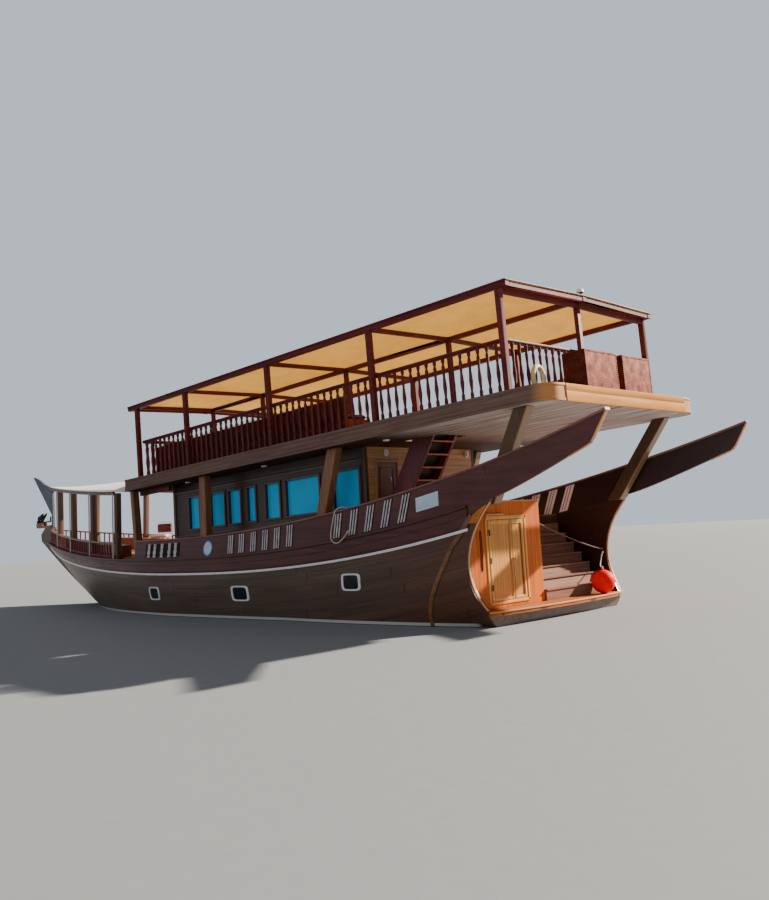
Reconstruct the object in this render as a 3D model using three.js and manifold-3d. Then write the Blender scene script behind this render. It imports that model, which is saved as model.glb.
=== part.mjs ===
// Wooden passenger dhow: a motor vessel with an open stern platform and a canopied upper deck.
// Millimetres. +X runs forward, +Y to port, +Z up.
// The origin is on the waterline, amidships, on the centreline.
import * as THREE from 'three';
import { mergeVertices } from 'three/addons/utils/BufferGeometryUtils.js';
import Module from 'manifold-3d';

const wasm = await Module();
wasm.setup();

// Driving dimensions
const gap = 1; // between neighbouring pieces
const bowX = 12970; // where the deck edge meets the stem
const stemEnd = 13250; // foremost point of the stem's raked face
const stemStart = 3000; // where the straight keel begins to sweep up
const skegX = -4000; // aft of this the hull's underside rises from the keel
const hullAft = -11400; // aft end of the hull's sections, before the stern is cut
const waleAft = -10750;
const kneeX = -11270; // where the deck edge ends and the stern wings begin
const wingTipX = -14120;
const halfBeam = 2800;
const keelZ = -1700;
const keelHalf = 80;
const rabbetHalf = 15; // half-width of the hull's body where it meets the keel
const sheerLow = 1550; // lowest height of the deck edge, amidships
const railLow = 2090; // lowest height of the bulwark's cap
const plank = 80; // thickness of the bulwark and of the stern cheeks
const waleThick = 30;
const deckTop = 31; // deck surface above the deck edge
const platformZ = 310; // top of the stern platform
const platformThick = 90;
const platformHalf = 2400;
const platformEdge = -10985; // aft edge of the platform at its sides
const recessX = -9300; // forward end of the open stern well
const cabinetX = -10660; // aft face of the stern cabinet
const bulwarkEnds = [-5000, 1600]; // the middle bulwark, from the stern wings to the boarding gate
const bowPosts = [3190, 5430, 7900, 10300];
const bowEnd = 12300; // forward end of the bow's rail and beam
const bowRailTall = 505;
const awningEnds = [1900, 11700];
const awningThick = 20;
const cabinX = [-7300, 700];
const cabinHalf = 1900;
const wall = 50;
const windowTall = 860;
const upperPitch = 0.0402; // the upper deck slopes down towards the bow, in radians
const upperOrigin = [-12000, 0, 4420]; // its own origin, at the foot of the aft posts
const upperHalf = 2800;
const upperThick = 318;
const upperEnds = [-970, 13900]; // aft and forward edges, in the upper deck's own frame
const postStations = [0, 3560, 7149, 10745, 13247];
const postHalf = 2618;
const postSide = 120;
const headroom = 1990; // upper deck to the underside of the canopy frame
const beamTall = 110;
const camber = 50; // rise of the canopy at the centreline
const railHeight = 1062;
const propellerAt = [-9990, 0, -1130];
const rudderX = -10650;
const fenderRadius = 262;
const fenderAt = [-10985, -1700];
const stemTop = 2860;

const boat = new THREE.Group();
const materials = {
  // colour, roughness, metalness
  hull: [0x3c2a20, 0.45, 0], wale: [0x4a2c2c, 0.4, 0], teak: [0xa8764a, 0.5, 0],
  varnish: [0xb5652f, 0.25, 0], mahogany: [0x5a1e20, 0.35, 0], timber: [0x7a5a38, 0.5, 0],
  canvas: [0xd8b97c, 0.9, 0], white: [0xe8e6df, 0.6, 0], glass: [0x0f7f9c, 0.05, 0],
  wicker: [0x6e2f26, 0.8, 0], cushion: [0x7d1f22, 0.8, 0], bronze: [0xa5793a, 0.3, 1],
  steel: [0xb9bcc0, 0.3, 1], red: [0xd8150c, 0.3, 0], rope: [0xd9cfb4, 0.9, 0], black: [0x222222, 0.6, 0],
};

function addPiece(name, shape, slot, group = boat) {
  const geometry = shape instanceof wasm.Manifold ? fromSolid(shape) : shape;
  const [color, roughness, metalness] = materials[slot];
  const mesh = new THREE.Mesh(geometry, new THREE.MeshStandardMaterial({ color, roughness, metalness }));
  mesh.name = name;
  group.add(mesh);
  return mesh;
}

// Solids and their joins
function welded(geometry) {
  const bare = geometry.clone();
  bare.deleteAttribute('normal');
  bare.deleteAttribute('uv');
  const merged = mergeVertices(bare, 0.02);
  const index = merged.index.array;
  const at = merged.attributes.position.array;
  const kept = [];
  for (let i = 0; i < index.length; i += 3) {
    const [a, b, c] = [index[i], index[i + 1], index[i + 2]];
    if (a !== b && b !== c && c !== a) kept.push(a, b, c);
  }
  let volume = 0;
  for (let i = 0; i < kept.length; i += 3) {
    const [a, b, c] = [0, 1, 2].map((k) => new THREE.Vector3().fromArray(at, 3 * kept[i + k]));
    volume += a.dot(b.cross(c));
  }
  if (volume < 0) {
    for (let i = 0; i < kept.length; i += 3) [kept[i], kept[i + 1]] = [kept[i + 1], kept[i]];
  }
  merged.setIndex(kept);
  return merged;
}

function toSolid(geometry) {
  const merged = welded(geometry);
  return new wasm.Manifold(new wasm.Mesh({
    numProp: 3,
    vertProperties: new Float32Array(merged.attributes.position.array),
    triVerts: new Uint32Array(merged.index.array),
  }));
}

function fromSolid(solid) {
  const mesh = solid.getMesh();
  const geometry = new THREE.BufferGeometry();
  geometry.setAttribute('position', new THREE.BufferAttribute(new Float32Array(mesh.vertProperties), 3));
  geometry.setIndex(Array.from(mesh.triVerts));
  return geometry;
}

function join(parts) {
  return parts.reduce((sum, part) => sum.add(part));
}

function mirrored(geometry) {
  return welded(geometry.clone().scale(1, -1, 1));
}

// A box from its low and high corners
function box(low, high) {
  const size = high.map((value, k) => value - low[k]);
  return new THREE.BoxGeometry(...size).translate(...low.map((value, k) => value + size[k] / 2));
}

function solidBox(low, high) {
  return toSolid(box(low, high));
}

// A closed skin over a row of equal-sized rings, each a list of [x, y, z]
function loft(rings) {
  const count = rings[0].length;
  const index = [];
  for (let r = 0; r + 1 < rings.length; r += 1) {
    for (let k = 0; k < count; k += 1) {
      const [a, b] = [r * count + k, r * count + ((k + 1) % count)];
      index.push(a, b, b + count, a, b + count, a + count);
    }
  }
  // The ring's area vector, whose largest part tells which axis to drop for a flat outline
  const areaVector = (ring) => ring.reduce((sum, point, k) => {
    const next = ring[(k + 1) % count];
    return sum.add(new THREE.Vector3(...point).cross(new THREE.Vector3(...next)));
  }, new THREE.Vector3()).toArray().map(Math.abs);
  [rings[0], rings[rings.length - 1]].forEach((ring, last) => {
    const area = areaVector(ring);
    const dropped = area.indexOf(Math.max(...area));
    const kept = [0, 1, 2].filter((axis) => axis !== dropped);
    const outline = ring.map((point) => new THREE.Vector2(point[kept[0]], point[kept[1]]));
    const start = last ? (rings.length - 1) * count : 0;
    const faces = THREE.ShapeUtils.triangulateShape(outline, []);
    const faceArea = faces.reduce((sum, face) => sum + THREE.ShapeUtils.area(face.map((k) => outline[k])), 0);
    const along = faceArea * THREE.ShapeUtils.area(outline) > 0;
    const flip = along !== Boolean(last);
    faces.forEach((face) => (flip ? face.reverse() : face).forEach((k) => index.push(start + k)));
  });
  const geometry = new THREE.BufferGeometry();
  geometry.setAttribute('position', new THREE.BufferAttribute(new Float32Array(rings.flat(2)), 3));
  geometry.setIndex(index);
  return welded(geometry);
}

// An outline in the XZ plane, given as [x, z], made solid from yLow to yHigh
function sidePlate(outline, yLow, yHigh) {
  return loft([yLow, yHigh].map((y) => outline.map(([x, z]) => [x, y, z])));
}

// An outline in the XY plane, given as [x, y], made solid from zLow to zHigh
function flatPlate(outline, zLow, zHigh) {
  return loft([zLow, zHigh].map((z) => outline.map(([x, y]) => [x, y, z])));
}

// A straight bar of square section between two points
function bar(from, to, side, depth = side) {
  const start = new THREE.Vector3(...from);
  const end = new THREE.Vector3(...to);
  const length = start.distanceTo(end);
  const shape = new THREE.BoxGeometry(side, depth, length);
  const along = end.clone().sub(start).normalize();
  shape.applyQuaternion(new THREE.Quaternion().setFromUnitVectors(new THREE.Vector3(0, 0, 1), along));
  return shape.translate(...start.add(end).multiplyScalar(0.5).toArray());
}

// A turned solid around Z: the profile is a list of [radius, height]
function turned(profile, sides) {
  return new THREE.LatheGeometry(profile.map(([r, h]) => new THREE.Vector2(r, h)), sides).rotateX(Math.PI / 2);
}

function tube(points, radius, steps, sides = 8) {
  const path = new THREE.CatmullRomCurve3(points.map((point) => new THREE.Vector3(...point)));
  const section = Array.from({ length: sides }, (_, k) => {
    const angle = (2 * Math.PI * k) / sides;
    return new THREE.Vector2(radius * Math.cos(angle), radius * Math.sin(angle));
  });
  return new THREE.ExtrudeGeometry(new THREE.Shape(section), { extrudePath: path, steps });
}

// Lines of the hull
const clamp = THREE.MathUtils.clamp;
const sheerZ = (x) => sheerLow + (x < 0 ? 880 * (-x / 11040) ** 2.6 : 790 * (x / bowX) ** 1.9);
const railZ = (x) => (x < 0 ? railLow + 1710 * (x / -13980) ** 2.2 : sheerZ(x) + 540);
const sheerHalf = (x) => (x < 0 ? halfBeam - 290 * (x / kneeX) ** 2 : halfBeam * (1 - (x / bowX) ** 1.65));
const stemS = (x) => clamp((x - stemStart) / (stemEnd - stemStart), 0, 1);
const keelLine = (x) => keelZ + (sheerZ(bowX) - keelZ) * stemS(x) ** 1.5;
const rabbetZ = (x) => (x < skegX ? -1350 + 1050 * ((skegX - x) / 7000) ** 1.6
  : keelLine(x) + 350 - 200 * stemS(x));
const stripeZ = (x) => Math.max(sheerZ(x) - 400 + 100 * clamp(x / bowX, 0, 1) - 60 * clamp(x / kneeX, 0, 1),
  rabbetZ(x) + 0.5 * (sheerZ(x) - rabbetZ(x)));

function hullHalf(x, z) {
  const t = clamp((z - rabbetZ(x)) / (sheerZ(x) - rabbetZ(x)), 0, 1);
  const aft = clamp((-x - 5000) / 6000, 0, 1);
  const fore = clamp(x / bowX, 0, 1);
  const a = 3 + 5 * aft - 1.9 * fore;
  const b = 2 + aft - 0.95 * fore;
  return rabbetHalf + (sheerHalf(x) - rabbetHalf) * (1 - (1 - t) ** a) ** (1 / b);
}

const stations = [
  hullAft, -11000, -10600, -10100, -9700, -9300, -8600, -7800, -7000, -6000, -5000, -4000, -3000, -2000,
  -1000, 0, 1000, 1600, 2500, 3200, 4000, 5000, 6000, 7000, 8000, 9000, 10000, 11000, 11700, 12300, 12700,
  12900,
];
const stationsIn = (low, high) => stations.filter((x) => x >= low && x <= high);

// Half of a hull section, from the rabbet up to the deck edge, as [y, z]
function sectionSide(x) {
  const low = rabbetZ(x);
  const high = stripeZ(x);
  const rise = Array.from({ length: 10 }, (_, k) => low + (high - low) * (k / 9) ** 1.7);
  return [...rise, (high + sheerZ(x)) / 2, sheerZ(x)].map((z) => [hullHalf(x, z), z]);
}

function hullBody() {
  return loft(stations.map((x) => {
    const side = sectionSide(x);
    return [...side.map(([y, z]) => [x, y, z]), ...side.slice().reverse().map(([y, z]) => [x, -y, z])];
  }));
}

function keelAndStem() {
  const steps = Array.from({ length: 14 }, (_, k) => stemStart + ((stemEnd - stemStart) * k) / 13);
  const face = steps.map((x) => [x, keelLine(x)]);
  const inner = steps.slice(0, -1).map((x) => [x, rabbetZ(x) + 60]).reverse();
  const aperture = [[-9650, -450], [-9650, -1600], [-10900, -1600], [-10900, keelZ]];
  const headAft = bowEnd + 10;
  const head = [[13300, 2600], [12940, stemTop], [headAft, stemTop], [headAft, sheerZ(headAft) - 40]];
  return sidePlate([...aperture, ...face, ...head, ...inner.filter(([x]) => x < headAft), [skegX, -1000]],
    -keelHalf, keelHalf);
}

// The curved aft edge of the quarter planking, through three measured points
const cheekPoints = [[-10980, 310], [-10660, 1280], [-11270, 2430]];
function cheekX(z) {
  return cheekPoints.reduce((sum, [x, zi], i) => sum + cheekPoints.reduce(
    (product, [, zj], j) => (i === j ? product : (product * (z - zj)) / (zi - zj)), x), 0);
}

function sternCut() {
  const edge = Array.from({ length: 11 }, (_, k) => 310 + (2160 * k) / 10).map((z) => [cheekX(z), z]);
  return sidePlate([
    [-12000, -1500], [-10980, -1500], ...edge, [cheekX(2470), 3200], [-12000, 3200]], -4000, 4000);
}

function wellCut() {
  const floor = platformZ - platformThick - gap;
  return loft([-12000, ...stationsIn(hullAft, recessX)].map((x) => {
    const place = Math.max(x, hullAft);
    const levels = Array.from({ length: 6 }, (_, k) => floor + ((sheerZ(place) + 60 - floor) * k) / 5);
    const side = levels.map((z) => [x, hullHalf(place, Math.min(z, sheerZ(place))) - plank - 20, z]);
    return [...side, ...side.slice().reverse().map(([px, y, z]) => [px, -y, z])];
  }));
}

const sternTube = turned([[0, 0], [95, 0], [95, 60], [150, 500], [0, 500]], 16)
  .rotateY(Math.PI / 2).translate(-9700, 0, propellerAt[2]);
const rudderWell = turned([[0, -600], [52, -600], [52, 600], [0, 600]], 16).translate(rudderX, 0, 0);

addPiece('hull', join([hullBody(), keelAndStem(), sternTube].map(toSolid))
  .subtract(toSolid(sternCut())).subtract(toSolid(wellCut()))
  .subtract(toSolid(rudderWell)), 'hull');

// Decks
const deckInset = (x) => (x <= bulwarkEnds[1] ? plank + 10 : 330);
const deck = loft(stationsIn(recessX, awningEnds[1]).map((x) => {
  const y = sheerHalf(x) - deckInset(x);
  const z = sheerZ(x);
  return [[x, y, z + gap], [x, -y, z + gap], [x, -y, z + deckTop], [x, y, z + deckTop]];
}));
addPiece('main_deck', deck, 'teak');

const platformBottom = platformZ - platformThick;
const platformSide = (x) => hullHalf(x, platformBottom) - plank - 25;
const platformAft = (y) => platformEdge - 5 - 230 * Math.sqrt(Math.max(1 - (y / platformHalf) ** 2, 0));
function platformOutline() {
  const aft = [0, 0.2, 0.5, 0.75, 0.9, 0.97, 1].map((s) => [platformAft(platformHalf * s), platformHalf * s]);
  const inner = [-11000, ...stationsIn(-10600, -9700), recessX - gap - 5].map((x) => [
    Math.max(x, platformEdge), platformSide(x)]);
  const port = [...aft, [platformEdge, platformHalf], ...inner];
  return [...port, ...port.slice(1).reverse().map(([x, y]) => [x, -y])];
}
addPiece('swim_platform', flatPlate(platformOutline(), platformBottom, platformZ), 'teak');

// Bulwarks, with the wings that run out past the stern
const topLean = (x) => (x < 0 ? -80 + 170 * (x / kneeX) ** 2 : -80);
function bulwarkRing([xLow, yLow, zLow], [xHigh, yHigh]) {
  return [[xLow, yLow, zLow], [xHigh, yHigh, railZ(xHigh)], [xHigh, yHigh - plank, railZ(xHigh)],
    [xLow, yLow - plank, zLow]];
}
const bulwarkRow = (x) => bulwarkRing([x, sheerHalf(x), sheerZ(x) + gap], [x, sheerHalf(x) + topLean(x)]);
// The wing's rows go from its tip, s = 1, to where it leaves the hull
const wingRow = (s) => bulwarkRing(
  [kneeX - 2500 * s, 2510 + 280 * s, 2452 + 828 * s ** 1.1], [kneeX + (wingTipX - kneeX) * s, 2600 + 160 * s]);
const [wingRoot, gateEdge] = bulwarkEnds;
const wing = loft([...[1, 0.8, 0.6, 0.4, 0.2].map(wingRow),
  ...[...stationsIn(-11000, -6000), wingRoot - gap].map(bulwarkRow)]);
const bulwark = loft(stationsIn(wingRoot, gateEdge).map(bulwarkRow));
const wale = loft([waleAft, ...stationsIn(waleAft, bowEnd)].map((x) => {
  const heights = [stripeZ(x), (stripeZ(x) + sheerZ(x)) / 2, sheerZ(x)];
  const inner = heights.map((z) => [x, hullHalf(x, z) + gap, z]);
  return [...inner, ...inner.slice().reverse().map(([px, y, z]) => [px, y + waleThick, z])];
}));

// Bow: an open rail of posts and slats, with a long beam over it that carries the awning
const awningEdge = (x) => 3540 + 640 * ((x - 1500) / 8400) ** 1.25;
const bowSide = (x) => sheerHalf(x) - 60;
const bowStations = [bowPosts[0], ...stationsIn(4000, awningEnds[1]), bowEnd];
function bowStrip(zLow, zHigh, width) {
  return toSolid(loft(bowStations.map((x) => {
    const y = bowSide(x);
    return [[x, y, zLow(x)], [x, y, zHigh(x)], [x, y - width, zHigh(x)], [x, y - width, zLow(x)]];
  })));
}
function bowRail() {
  const cap = bowStrip((x) => sheerZ(x) + bowRailTall - 50, (x) => sheerZ(x) + bowRailTall, 110);
  const foot = bowStrip((x) => sheerZ(x) + 8, (x) => sheerZ(x) + 110, 60);
  const beam = bowStrip((x) => awningEdge(x) - 110, awningEdge, 90);
  const posts = bowPosts.map((x) => toSolid(bar(
    [x, bowSide(x) - 125, sheerZ(x) + 8], [x - 110, bowSide(x - 110) - 125, awningEdge(x) - 40], 160, 170)));
  const slats = Array.from({ length: 38 }, (_, k) => 3400 + k * 236).map((x) => solidBox(
    [x - 30, bowSide(x) - 50, sheerZ(x) + 60], [x + 30, bowSide(x) - 20, sheerZ(x) + bowRailTall - 30]));
  return join([cap, foot, beam, ...posts, ...slats]);
}
const deckAt = (x) => sheerZ(x) + deckTop;
const bench = loft([3450, ...stationsIn(4000, 8000), 8600].map((x) => {
  const [outer, inner] = [bowSide(x) - 235, bowSide(x) - 685];
  const [low, high] = [deckAt(x) + 6, deckAt(x) + 430];
  return [[x, outer, low], [x, outer, high], [x, inner, high], [x, inner, low]];
}));
const sidePieces = [ // name, shape, material
  ['bulwark_mid', bulwark, 'wale'], ['bulwark_wing', wing, 'wale'], ['wale', wale, 'wale'],
  ['bow_rail', fromSolid(bowRail()), 'mahogany'], ['bow_bench', bench, 'varnish']];
sidePieces.forEach(([name, shape, slot]) => {
  addPiece(`${name}_port`, shape, slot);
  addPiece(`${name}_starboard`, mirrored(shape), slot);
});

const awning = loft([awningEnds[0], ...bowStations.slice(0, -1)].map((x) => {
  const half = bowSide(x);
  const skin = (lift) => [-1, -0.5, 0, 0.5, 1].map((s) => [
    x, half * s, awningEdge(x) + 5 + lift + 80e-6 * half ** 2 * (1 - s ** 2)]);
  return [...skin(0), ...skin(awningThick).reverse()];
}));
addPiece('bow_awning', awning, 'white');

// Stem head: a board in the centreline plane that rakes forward to a point
const headFoot = stemTop + 2;
addPiece('stem_head', sidePlate([
  [12420, headFoot], [12400, 3250], [12386, 3338], [13935, 4930], [13443, 4789], [13009, 4576], [12578, 4445],
  [12310, 4400], [12310, headFoot]], -60, 60), 'timber');

// Bow roller and the anchor stowed on it
const rollerAt = [13600, 0, 3010];
const rollerShape = [
  box([12440, -90, headFoot], [13640, 90, 2950]), box([13100, -95, 2900], [13680, -65, 3070]),
  box([13100, 65, 2900], [13680, 95, 3070]), turned([[0, -80], [52, -80], [52, 80], [0, 80]], 16)
    .rotateX(Math.PI / 2).translate(...rollerAt)];
addPiece('bow_roller', join(rollerShape.map(toSolid)), 'timber');
const shankZ = rollerAt[2] + 85;
const fluke = sidePlate([
  [13560, shankZ - 10], [13540, 3300], [13050, 3440], [13200, 3300], [13450, shankZ + 20]], 40, 100);
addPiece('anchor', join([
  bar([13520, 0, shankZ], [12600, 0, shankZ], 50), box([13480, -110, shankZ - 25], [13600, 110, shankZ + 60]),
  box([12560, -15, shankZ - 25], [12640, 15, 3290]), fluke, mirrored(fluke)].map(toSolid)), 'black');

// The upper deck's own frame, sloping down towards the bow
const upper = new THREE.Group();
upper.position.set(...upperOrigin);
upper.rotation.y = upperPitch;
boat.add(upper);
const [pitchCos, pitchSin] = [Math.cos(upperPitch), Math.sin(upperPitch)];
// Height of the upper deck's underside over a place on the boat
function underZ(x) {
  const along = (x - upperOrigin[0] + pitchSin * upperThick) / pitchCos;
  return upperOrigin[2] - pitchSin * along - pitchCos * upperThick;
}

// Cabin: four walls with their windows and doorway cut
const cabinRows = [cabinX[0], ...stationsIn(-7000, 0), cabinX[1]];
const wallFoot = (x) => deckAt(x) + 6;
const wallTop = (x) => underZ(x) - 3;
const windowTop = (x) => 3200 - 0.033 * x;
const windows = [ // aft end, forward end
  [-7070, -6190], [-5670, -4420], [-4150, -3600], [-3150, -2820], [-2500, -2000], [-1780, -1140],
  [-590, -110]];
function windowHole([x0, x1]) {
  return toSolid(sidePlate([
    [x0, windowTop(x0) - windowTall], [x1, windowTop(x1) - windowTall], [x1, windowTop(x1)],
    [x0, windowTop(x0)]],
  cabinHalf - 2 * wall, cabinHalf + wall));
}
const plainWall = toSolid(loft(cabinRows.map((x) => [
  [x, cabinHalf - wall, wallFoot(x)], [x, cabinHalf, wallFoot(x)],
  [x, cabinHalf, wallTop(x)], [x, cabinHalf - wall, wallTop(x)]])));
const sideWall = windows.reduce((solid, span) => solid.subtract(windowHole(span)), plainWall);
const paneIn = cabinHalf - wall - 14;
const pane = loft([-7200, 500].map((x) => [
  [x, paneIn, windowTop(x) - windowTall - 40], [x, paneIn + 12, windowTop(x) - windowTall - 40],
  [x, paneIn + 12, windowTop(x) + 40], [x, paneIn, windowTop(x) + 40]]));
addPiece('cabin_wall_port', sideWall, 'timber');
addPiece('cabin_wall_starboard', mirrored(fromSolid(sideWall)), 'timber');
addPiece('cabin_glass_port', pane, 'glass');
addPiece('cabin_glass_starboard', mirrored(pane), 'glass');

const endHalf = cabinHalf - wall - 20;
const doorY = [910, 1570];
const doorTop = 3560;
const endWall = (x0, x1, foot) => toSolid(loft([x0, x1].map((x) => [
  [x, -endHalf, foot], [x, endHalf, foot], [x, endHalf, wallTop(x)], [x, -endHalf, wallTop(x)]])));
const aftFoot = deckAt(cabinX[0]) + 8;
addPiece('cabin_wall_aft', endWall(cabinX[0], cabinX[0] + wall, aftFoot).subtract(solidBox(
  [cabinX[0] - 50, doorY[0], aftFoot + 80], [cabinX[0] + 2 * wall, doorY[1], doorTop])), 'timber');
addPiece('cabin_wall_front', endWall(cabinX[1] - wall, cabinX[1], deckAt(cabinX[1]) + 8).subtract(solidBox(
  [cabinX[1] - 2 * wall, -1500, 2350], [cabinX[1] + 50, 1500, 3150])), 'timber');
addPiece('cabin_glass_front', box([cabinX[1] - wall - 14, -1540, 2310],
  [cabinX[1] - wall - 2, 1540, 3190]), 'glass');
addPiece('cabin_door', box([cabinX[0], doorY[0] + 6, aftFoot + 86],
  [cabinX[0] + 40, doorY[1] - 6, doorTop - 6]), 'timber');

// Steep ladder through the hatch to the upper deck
const ladderY = [600, 1400];
const ladderX = (z) => -8360 - 0.63 * (z - 3050); // its aft edge
const ladderTop = 4200;
const boardThick = 45;
const treads = { count: 8, first: 2240, rise: 276, deep: 200, thick: 35 };
function ladder() {
  const foot = deckAt(-7800) + 8;
  const wallSide = cabinX[0] - 12;
  const boards = [[ladderY[0], 240], [ladderY[1] - boardThick, 620]].map(([y, deep]) => toSolid(sidePlate([
    [ladderX(foot), foot], [Math.min(ladderX(foot) + deep, wallSide), foot],
    [Math.min(ladderX(2700) + deep, wallSide), 2700], [ladderX(ladderTop) + deep, ladderTop],
    [ladderX(ladderTop), ladderTop]], y, y + boardThick)));
  const heights = Array.from({ length: treads.count }, (_, k) => treads.first + k * treads.rise);
  const steps = heights.map((z) => solidBox([ladderX(z) + 10, ladderY[0] + 10, z - treads.thick],
    [ladderX(z) + 10 + treads.deep, ladderY[1] - 10, z]));
  return join([...boards, ...steps]);
}
addPiece('ladder', ladder(), 'mahogany');

// Heavy timber pillars between the bulwark and the upper deck
const pillars = [ // name, [x, outer y] of foot and top, foot height or 0 for the deck, width, depth
  ['bow', [1690, 2600], [1690, 2690], 0, 160, 210], ['fore', [-1750, 2610], [-1790, 2610], 0, 270, 210],
  ['mid', [-6210, 2570], [-6910, 2570], 0, 320, 210], ['aft', [-11120, 2385], [-12255, 2650], 2370, 330, 230]];
pillars.forEach(([name, foot, top, footZ, width, depth]) => {
  const ring = ([x, y], z) => [[x - width / 2, y - depth], [x + width / 2, y - depth], [x + width / 2, y],
    [x - width / 2, y]].map(([px, py]) => [px, py, z(px)]);
  const shape = loft([ring(foot, (x) => footZ || deckAt(x) + 6), ring(top, (x) => underZ(x) - 3)]);
  addPiece(`pillar_${name}_port`, shape, 'timber');
  addPiece(`pillar_${name}_starboard`, mirrored(shape), 'timber');
});

// Stern well: the stairs to starboard and the cabinet with its double doors to port
const risers = 8;
const stairFoot = platformZ + gap;
const stairTop = deckAt(recessX);
const stairRun = 200;
function stairOutline() {
  const rise = (stairTop - stairFoot) / risers;
  const steps = Array.from({ length: risers - 1 }, (_, k) => {
    const x = recessX - 8 - stairRun * (risers - 1 - k);
    return [[x, stairFoot + k * rise], [x, stairFoot + (k + 1) * rise]];
  }).flat();
  return [...steps, [recessX - 8, stairFoot + (risers - 1) * rise], [recessX - 8, stairFoot]];
}
addPiece('stern_stairs', sidePlate(stairOutline(), -2240, 80), 'teak');

const cabinetY = [92, 2230];
const cabinetTop = 2440;
const board = 40;
const leafY = [680, 1130, 1870]; // hinge edge, meeting line, hinge edge
const leafZ = [440, 2080];
const cabinetBlock = solidBox([cabinetX, cabinetY[0], platformZ + gap], [recessX - 8, cabinetY[1], cabinetTop]);
addPiece('stern_cabinet', cabinetBlock
  .subtract(solidBox([cabinetX + board, cabinetY[0] + board, platformZ + gap + board],
    [recessX - 8 - board, cabinetY[1] - board, cabinetTop - board]))
  .subtract(solidBox([cabinetX - 50, leafY[0], leafZ[0]],
    [cabinetX + 2 * board, leafY[2], leafZ[1]])), 'varnish');
['starboard', 'port'].forEach((side, k) => {
  addPiece(`stern_door_${side}`, box([cabinetX, leafY[k] + 6 - 3 * k, leafZ[0] + 6],
    [cabinetX + 35, leafY[k + 1] - 3 - 3 * k, leafZ[1] - 6]), 'timber');
});

// Upper deck and what stands on it, in the upper deck's frame
function roundedOutline([aftX, foreX], half, aftRadius, foreRadius) {
  const corners = [ // x, y, radius, end angle
    [foreX - foreRadius, half - foreRadius, foreRadius, 90],
    [aftX + aftRadius, half - aftRadius, aftRadius, 180],
    [aftX + aftRadius, aftRadius - half, aftRadius, 270],
    [foreX - foreRadius, foreRadius - half, foreRadius, 360]];
  return corners.flatMap(([x, y, radius, end]) => [90, 72, 54, 36, 18, 0].map((back) => {
    const angle = THREE.MathUtils.degToRad(end - back);
    return [x + radius * Math.cos(angle), y + radius * Math.sin(angle)];
  }));
}
const hatch = [[2850, 520, -400], [3850, 1480, 50]];
addPiece('upper_deck', toSolid(flatPlate(roundedOutline(upperEnds, upperHalf, 400, 120), -upperThick, 0))
  .subtract(solidBox(...hatch)), 'timber', upper);

const railY = postHalf - postSide / 2 - 3; // outer side of the side rails
const railDeep = 90;
const balusterSide = 45;
const balusterStep = 150;
// A straight balustrade along X at the origin, from 0 to its length, before it is set in place
function balustrade(length) {
  const count = Math.round(length / balusterStep);
  const sticks = Array.from({ length: count }, (_, k) => ((k + 0.5) * length) / count).map((x) => solidBox(
    [x - balusterSide / 2, -balusterSide / 2, 40], [x + balusterSide / 2, balusterSide / 2, railHeight - 30]));
  return fromSolid(join([
    solidBox([0, -railDeep / 2, railHeight - 60], [length, railDeep / 2, railHeight]),
    solidBox([0, -railDeep / 2, gap], [length, railDeep / 2, 60]), ...sticks]));
}
const sideRailX = [160, postStations[4] - 160];
const sideRail = balustrade(sideRailX[1] - sideRailX[0]);
addPiece('balustrade_port', sideRail, 'mahogany', upper).position.set(sideRailX[0], railY - railDeep / 2, 0);
addPiece('balustrade_starboard', sideRail.clone(), 'mahogany', upper)
  .position.set(sideRailX[0], railDeep / 2 - railY, 0);
const endRail = balustrade(2 * railY);
[['aft', 108], ['front', postStations[4] - 108]].forEach(([name, x]) => {
  const mesh = addPiece(`balustrade_${name}`, endRail.clone(), 'mahogany', upper);
  mesh.rotation.z = Math.PI / 2;
  mesh.position.set(x, -railY, 0);
});

const roofEnds = [-220, postStations[4] + 425];
function sideFrame() {
  const posts = postStations.map((x) => solidBox(
    [x - postSide / 2, postHalf - postSide / 2, gap],
    [x + postSide / 2, postHalf + postSide / 2, headroom + 20]));
  return join([solidBox([roofEnds[0], postHalf - postSide / 2, headroom],
    [roofEnds[1], postHalf + postSide / 2, headroom + beamTall]), ...posts]);
}
function centreFrame() {
  const top = headroom + camber;
  const posts = postStations.map((x) => solidBox([x - 50, -50, gap], [x + 50, 50, top + 20]));
  const reach = postHalf - postSide / 2 - 3;
  // Each cross beam is cambered: its low and high edges rise from the sides to the centreline
  const crossRing = (x) => [[reach, headroom], [0, top], [-reach, headroom]].map(([y, z]) => [x, y, z + 8])
    .concat([[-reach, headroom], [0, top], [reach, headroom]].map(([y, z]) => [x, y, z + beamTall - 8]));
  const crosses = [roofEnds[0] + 50, ...postStations, roofEnds[1] - 50].map((x) => toSolid(
    loft([x - 40, x + 40].map(crossRing))));
  return join([solidBox([roofEnds[0], -50, top], [roofEnds[1], 50, top + beamTall - 8]), ...posts, ...crosses]);
}
const sideFrameShape = fromSolid(sideFrame());
addPiece('canopy_frame_port', sideFrameShape, 'mahogany', upper);
addPiece('canopy_frame_starboard', mirrored(sideFrameShape), 'mahogany', upper);
addPiece('canopy_frame_centre', centreFrame(), 'mahogany', upper);
const sheetHalf = postHalf + 70;
const sheetThick = 12;
addPiece('canopy_sheet', loft(roofEnds.map((x) => {
  const low = headroom + beamTall + 2;
  return [[x, sheetHalf, low], [x, 0, low + camber], [x, -sheetHalf, low],
    [x, -sheetHalf, low + sheetThick], [x, 0, low + camber + sheetThick], [x, sheetHalf, low + sheetThick]];
})), 'canvas', upper);

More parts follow.
